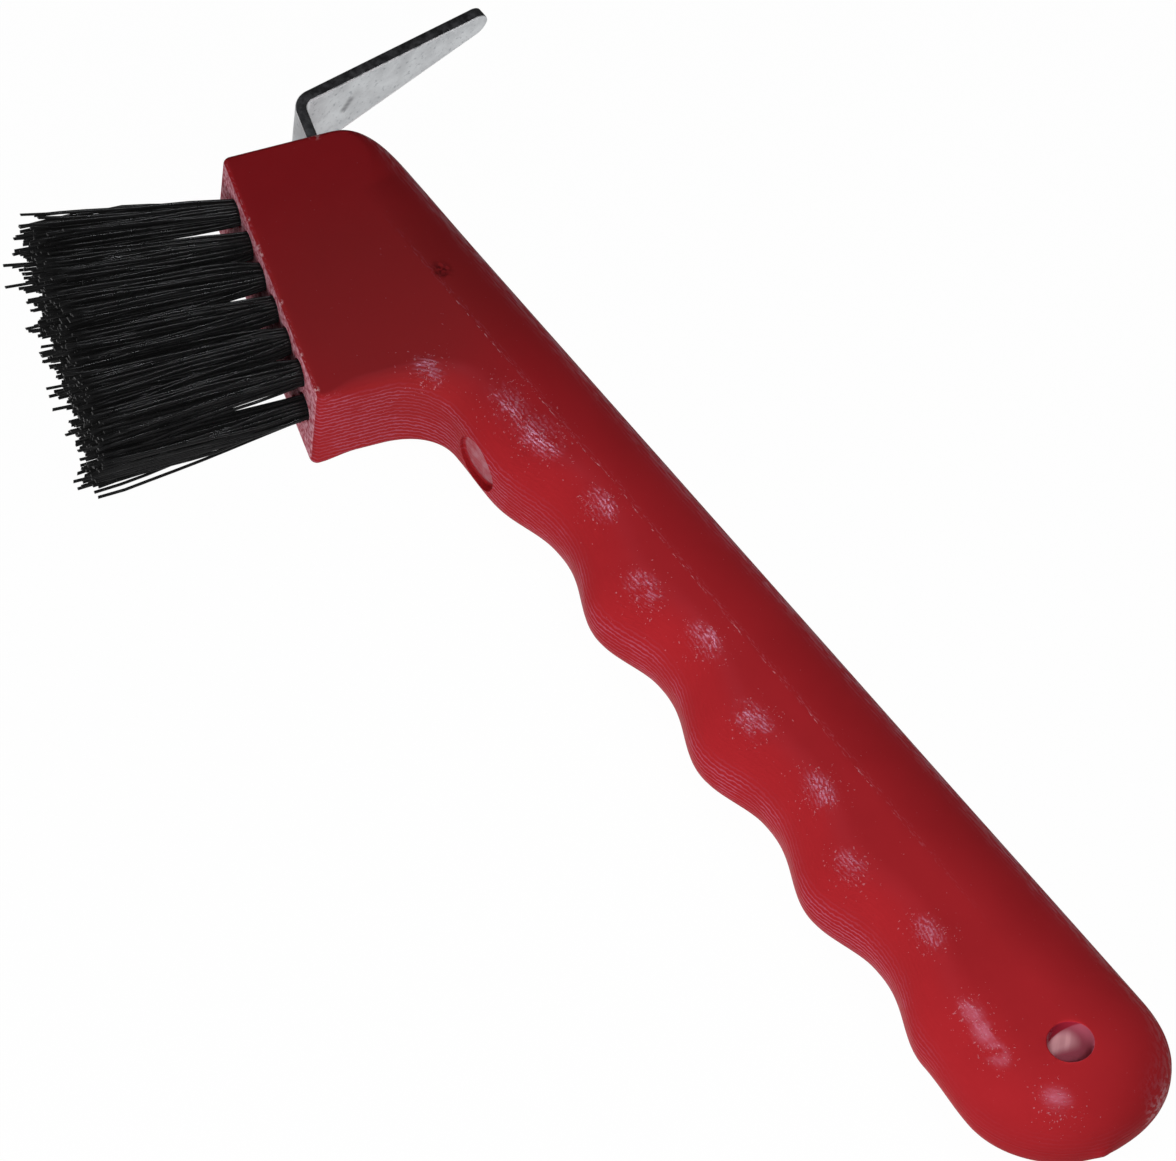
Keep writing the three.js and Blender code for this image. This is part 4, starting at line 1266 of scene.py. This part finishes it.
def white_table():
    """White to the camera, with a soft shadow; open from below."""
    made = bpy.data.materials.new("white_table")
    start_graph(made).clear()
    seen = node("ShaderNodeLightPath").outputs["Is Camera Ray"]
    matt = node("ShaderNodeBsdfDiffuse", {"Color": (0.86, 0.86, 0.86, 1)}).outputs[0]
    white = node("ShaderNodeEmission", {"Color": (1, 1, 1, 1), "Strength": 1.0}).outputs[0]
    share = ramp(seen, 0.0, 1.0, TABLE_GLOW, TABLE_WHITE)
    top = node("ShaderNodeMixShader", {0: share, 1: matt, 2: white}).outputs[0]
    below = node("ShaderNodeNewGeometry").outputs["Backfacing"]
    open_below = node("ShaderNodeBsdfTransparent").outputs[0]
    both = node("ShaderNodeMixShader", {0: below, 1: top, 2: open_below}).outputs[0]
    node("ShaderNodeOutputMaterial", {"Surface": both})
    return made


table.data.materials.append(white_table())
table.location.z = -0.02 * MM
table.visible_glossy = False
print("table:", 2 * TABLE_HALF, "m wide")

# %% [markdown]
# ## Light
# The lamps are fitted to one picture and share the work. Four give light and no highlight: a soft one on
# the grip's side and small ones over the neck, the end and the brush. Three give a highlight and no
# light: one for the glossier patches on the shoulders, one for the patch at the end and one for the
# filaments. A narrow spot shines into the hanging hole. Real lamps can't be divided like that, so this
# light suits one view, and other views need lamps that do both. The world gives an even fill, looks
# white to the camera, and is brighter below, where reflections would see the table.

# %% Lamps
LAMP_COLOUR = (0.95, 0.96, 1.0)


def hang_lamp(data, place, away, highlight=False):
    """Puts a lamp at a place, turned to shine against the direction away."""
    lamp = add_object(data.name, data)
    lamp.location = place
    lamp.rotation_euler = Vector(away).to_track_quat("Z", "Y").to_euler()
    lamp.visible_camera, lamp.visible_glossy = False, highlight
    return lamp


def soft_lamp(name, place, size, level, distance, target=(0.01, 0.0, 0.012), highlight=False):
    """A square lamp, aimed at the target, that gives a white surface this level at this distance.
    A highlight lamp shows only as a highlight, and any other lamp only as light."""
    data = bpy.data.lights.new(name, "AREA")
    data.shape, data.size, data.color = "SQUARE", size, LAMP_COLOUR
    data.energy = level * (math.pi * distance) ** 2
    lamp = hang_lamp(data, place, Vector(place) - Vector(target), highlight)
    lamp.visible_diffuse = not highlight


soft_lamp("side_lamp", (0.08, -0.20, 0.09), 0.09, 1.15, 0.15, target=(0.03, 0.0, 0.012))
soft_lamp("neck_lamp", (0.0, 0.0, 0.09), 0.05, 0.13, 0.15, target=(0.0, 0.0, 0.0))
soft_lamp("end_lamp", (0.105, 0.0, 0.075), 0.03, 0.10, 0.15, target=(0.085, 0.0, 0.01))
soft_lamp("brush_lamp", (-0.16, -0.17, 0.03), 0.08, 0.30, 0.15, target=(-0.07, 0.0, 0.008))
soft_lamp("shoulder_lamp", (-0.45, -0.18, 0.99), 0.34, 0.17, 1.1, highlight=True)
soft_lamp("cap_lamp", (0.41, -0.23, 1.02), 0.24, 0.17, 1.1, highlight=True)
soft_lamp("bristle_lamp", (-0.07, 0.02, 0.16), 0.01, 0.3, 0.16, target=(-0.075, -0.03, 0.012),
          highlight=True)


def narrow_lamp(name, point, direction, distance, radius, level):
    """A spot lamp that lights a disc of this radius round a point, in metres."""
    data = bpy.data.lights.new(name, "SPOT")
    data.spot_size, data.spot_blend = 2 * math.atan(radius / distance), 0.1
    data.shadow_soft_size = 0.0004
    data.energy = level * 4 * (math.pi * distance) ** 2
    hang_lamp(data, Vector(point) + Vector(direction).normalized() * distance, direction)


hole_mouth = scene_point(hang_centre[0], hang_centre[1], THICKNESS / 2)
narrow_lamp("bore_lamp", hole_mouth, (0.42, -0.36, 0.83), 0.30, 0.85 * HANG_RADIUS * MM, 0.62)
print("lamps:", len(bpy.data.lights))

# %% World
world = bpy.data.worlds.new("even_fill")
bpy.context.scene.world = world
fill = start_graph(world)["Background"]
fill.inputs["Color"].default_value = (1, 1, 1, 1)
FILL_LEVEL, TABLE_DARK, TABLE_BRIGHT = 0.11, 0.2, 0.95
BRIGHT_DIRECTIONS = ((0.5, 0.5, -0.7), (-0.55, -0.05, -0.83))
towards = node("ShaderNodeTexCoord").outputs["Generated"]
downward = parts_of(towards)["Z"]
below = ramp(downward, -0.5, -0.15, 1.0, 0.0)
bright = 0.0
for direction, start in zip(BRIGHT_DIRECTIONS, (0.8, 0.92)):
    side = vector_maths("DOT_PRODUCT", towards, Vector(direction).normalized(), "Value")
    bright = most(bright, ramp(side, start, 0.985))
table_level = times(below, ramp(bright, 0.0, 1.0, TABLE_DARK, TABLE_BRIGHT))
seen = node("ShaderNodeLightPath").outputs["Is Camera Ray"]
level = most(maths("ADD", table_level, FILL_LEVEL), seen)
connect(fill, Strength=level)
print("nodes in the world:", len(graph.nodes))

# %% [markdown]
# ## Camera
# The object is seen from high on the brush side, and its lines hardly converge, as with a long lens. So
# the camera stands far off in that direction, turned about its own axis by a few degrees, and the frame
# shows 147 mm of the object.

# %% Camera
PICTURE_CENTRE = (69.585, -20.667, 6.2)
PICTURE_WIDTH = 146.97
LENS, SENSOR = 1400.0, 36.0
ELEVATION, AZIMUTH, ROLL = math.radians(56.65), math.radians(-42.26), math.radians(5.9)

back = Vector((math.cos(ELEVATION) * math.cos(AZIMUTH), math.cos(ELEVATION) * math.sin(AZIMUTH),
               math.sin(ELEVATION)))
level_right = Vector((-math.sin(AZIMUTH), math.cos(AZIMUTH), 0))
level_up = back.cross(level_right)
right = level_right * math.cos(ROLL) + level_up * math.sin(ROLL)
up = back.cross(right)
camera_data = bpy.data.cameras.new("camera")
camera_data.lens, camera_data.sensor_width = LENS, SENSOR
camera_data.clip_start, camera_data.clip_end = 0.5, 40.0
camera = add_object("camera", camera_data)
turned = Matrix((right, up, back)).transposed().to_4x4()
stand = scene_point(*PICTURE_CENTRE) + back * (PICTURE_WIDTH * MM * LENS / SENSOR)
camera.matrix_world = Matrix.Translation(stand) @ turned
bpy.context.scene.camera = camera
bpy.context.scene.view_settings.view_transform = "Standard"
print("camera right:", np.round(right, 4), "up:", np.round(up, 4), "back:", np.round(back, 4))
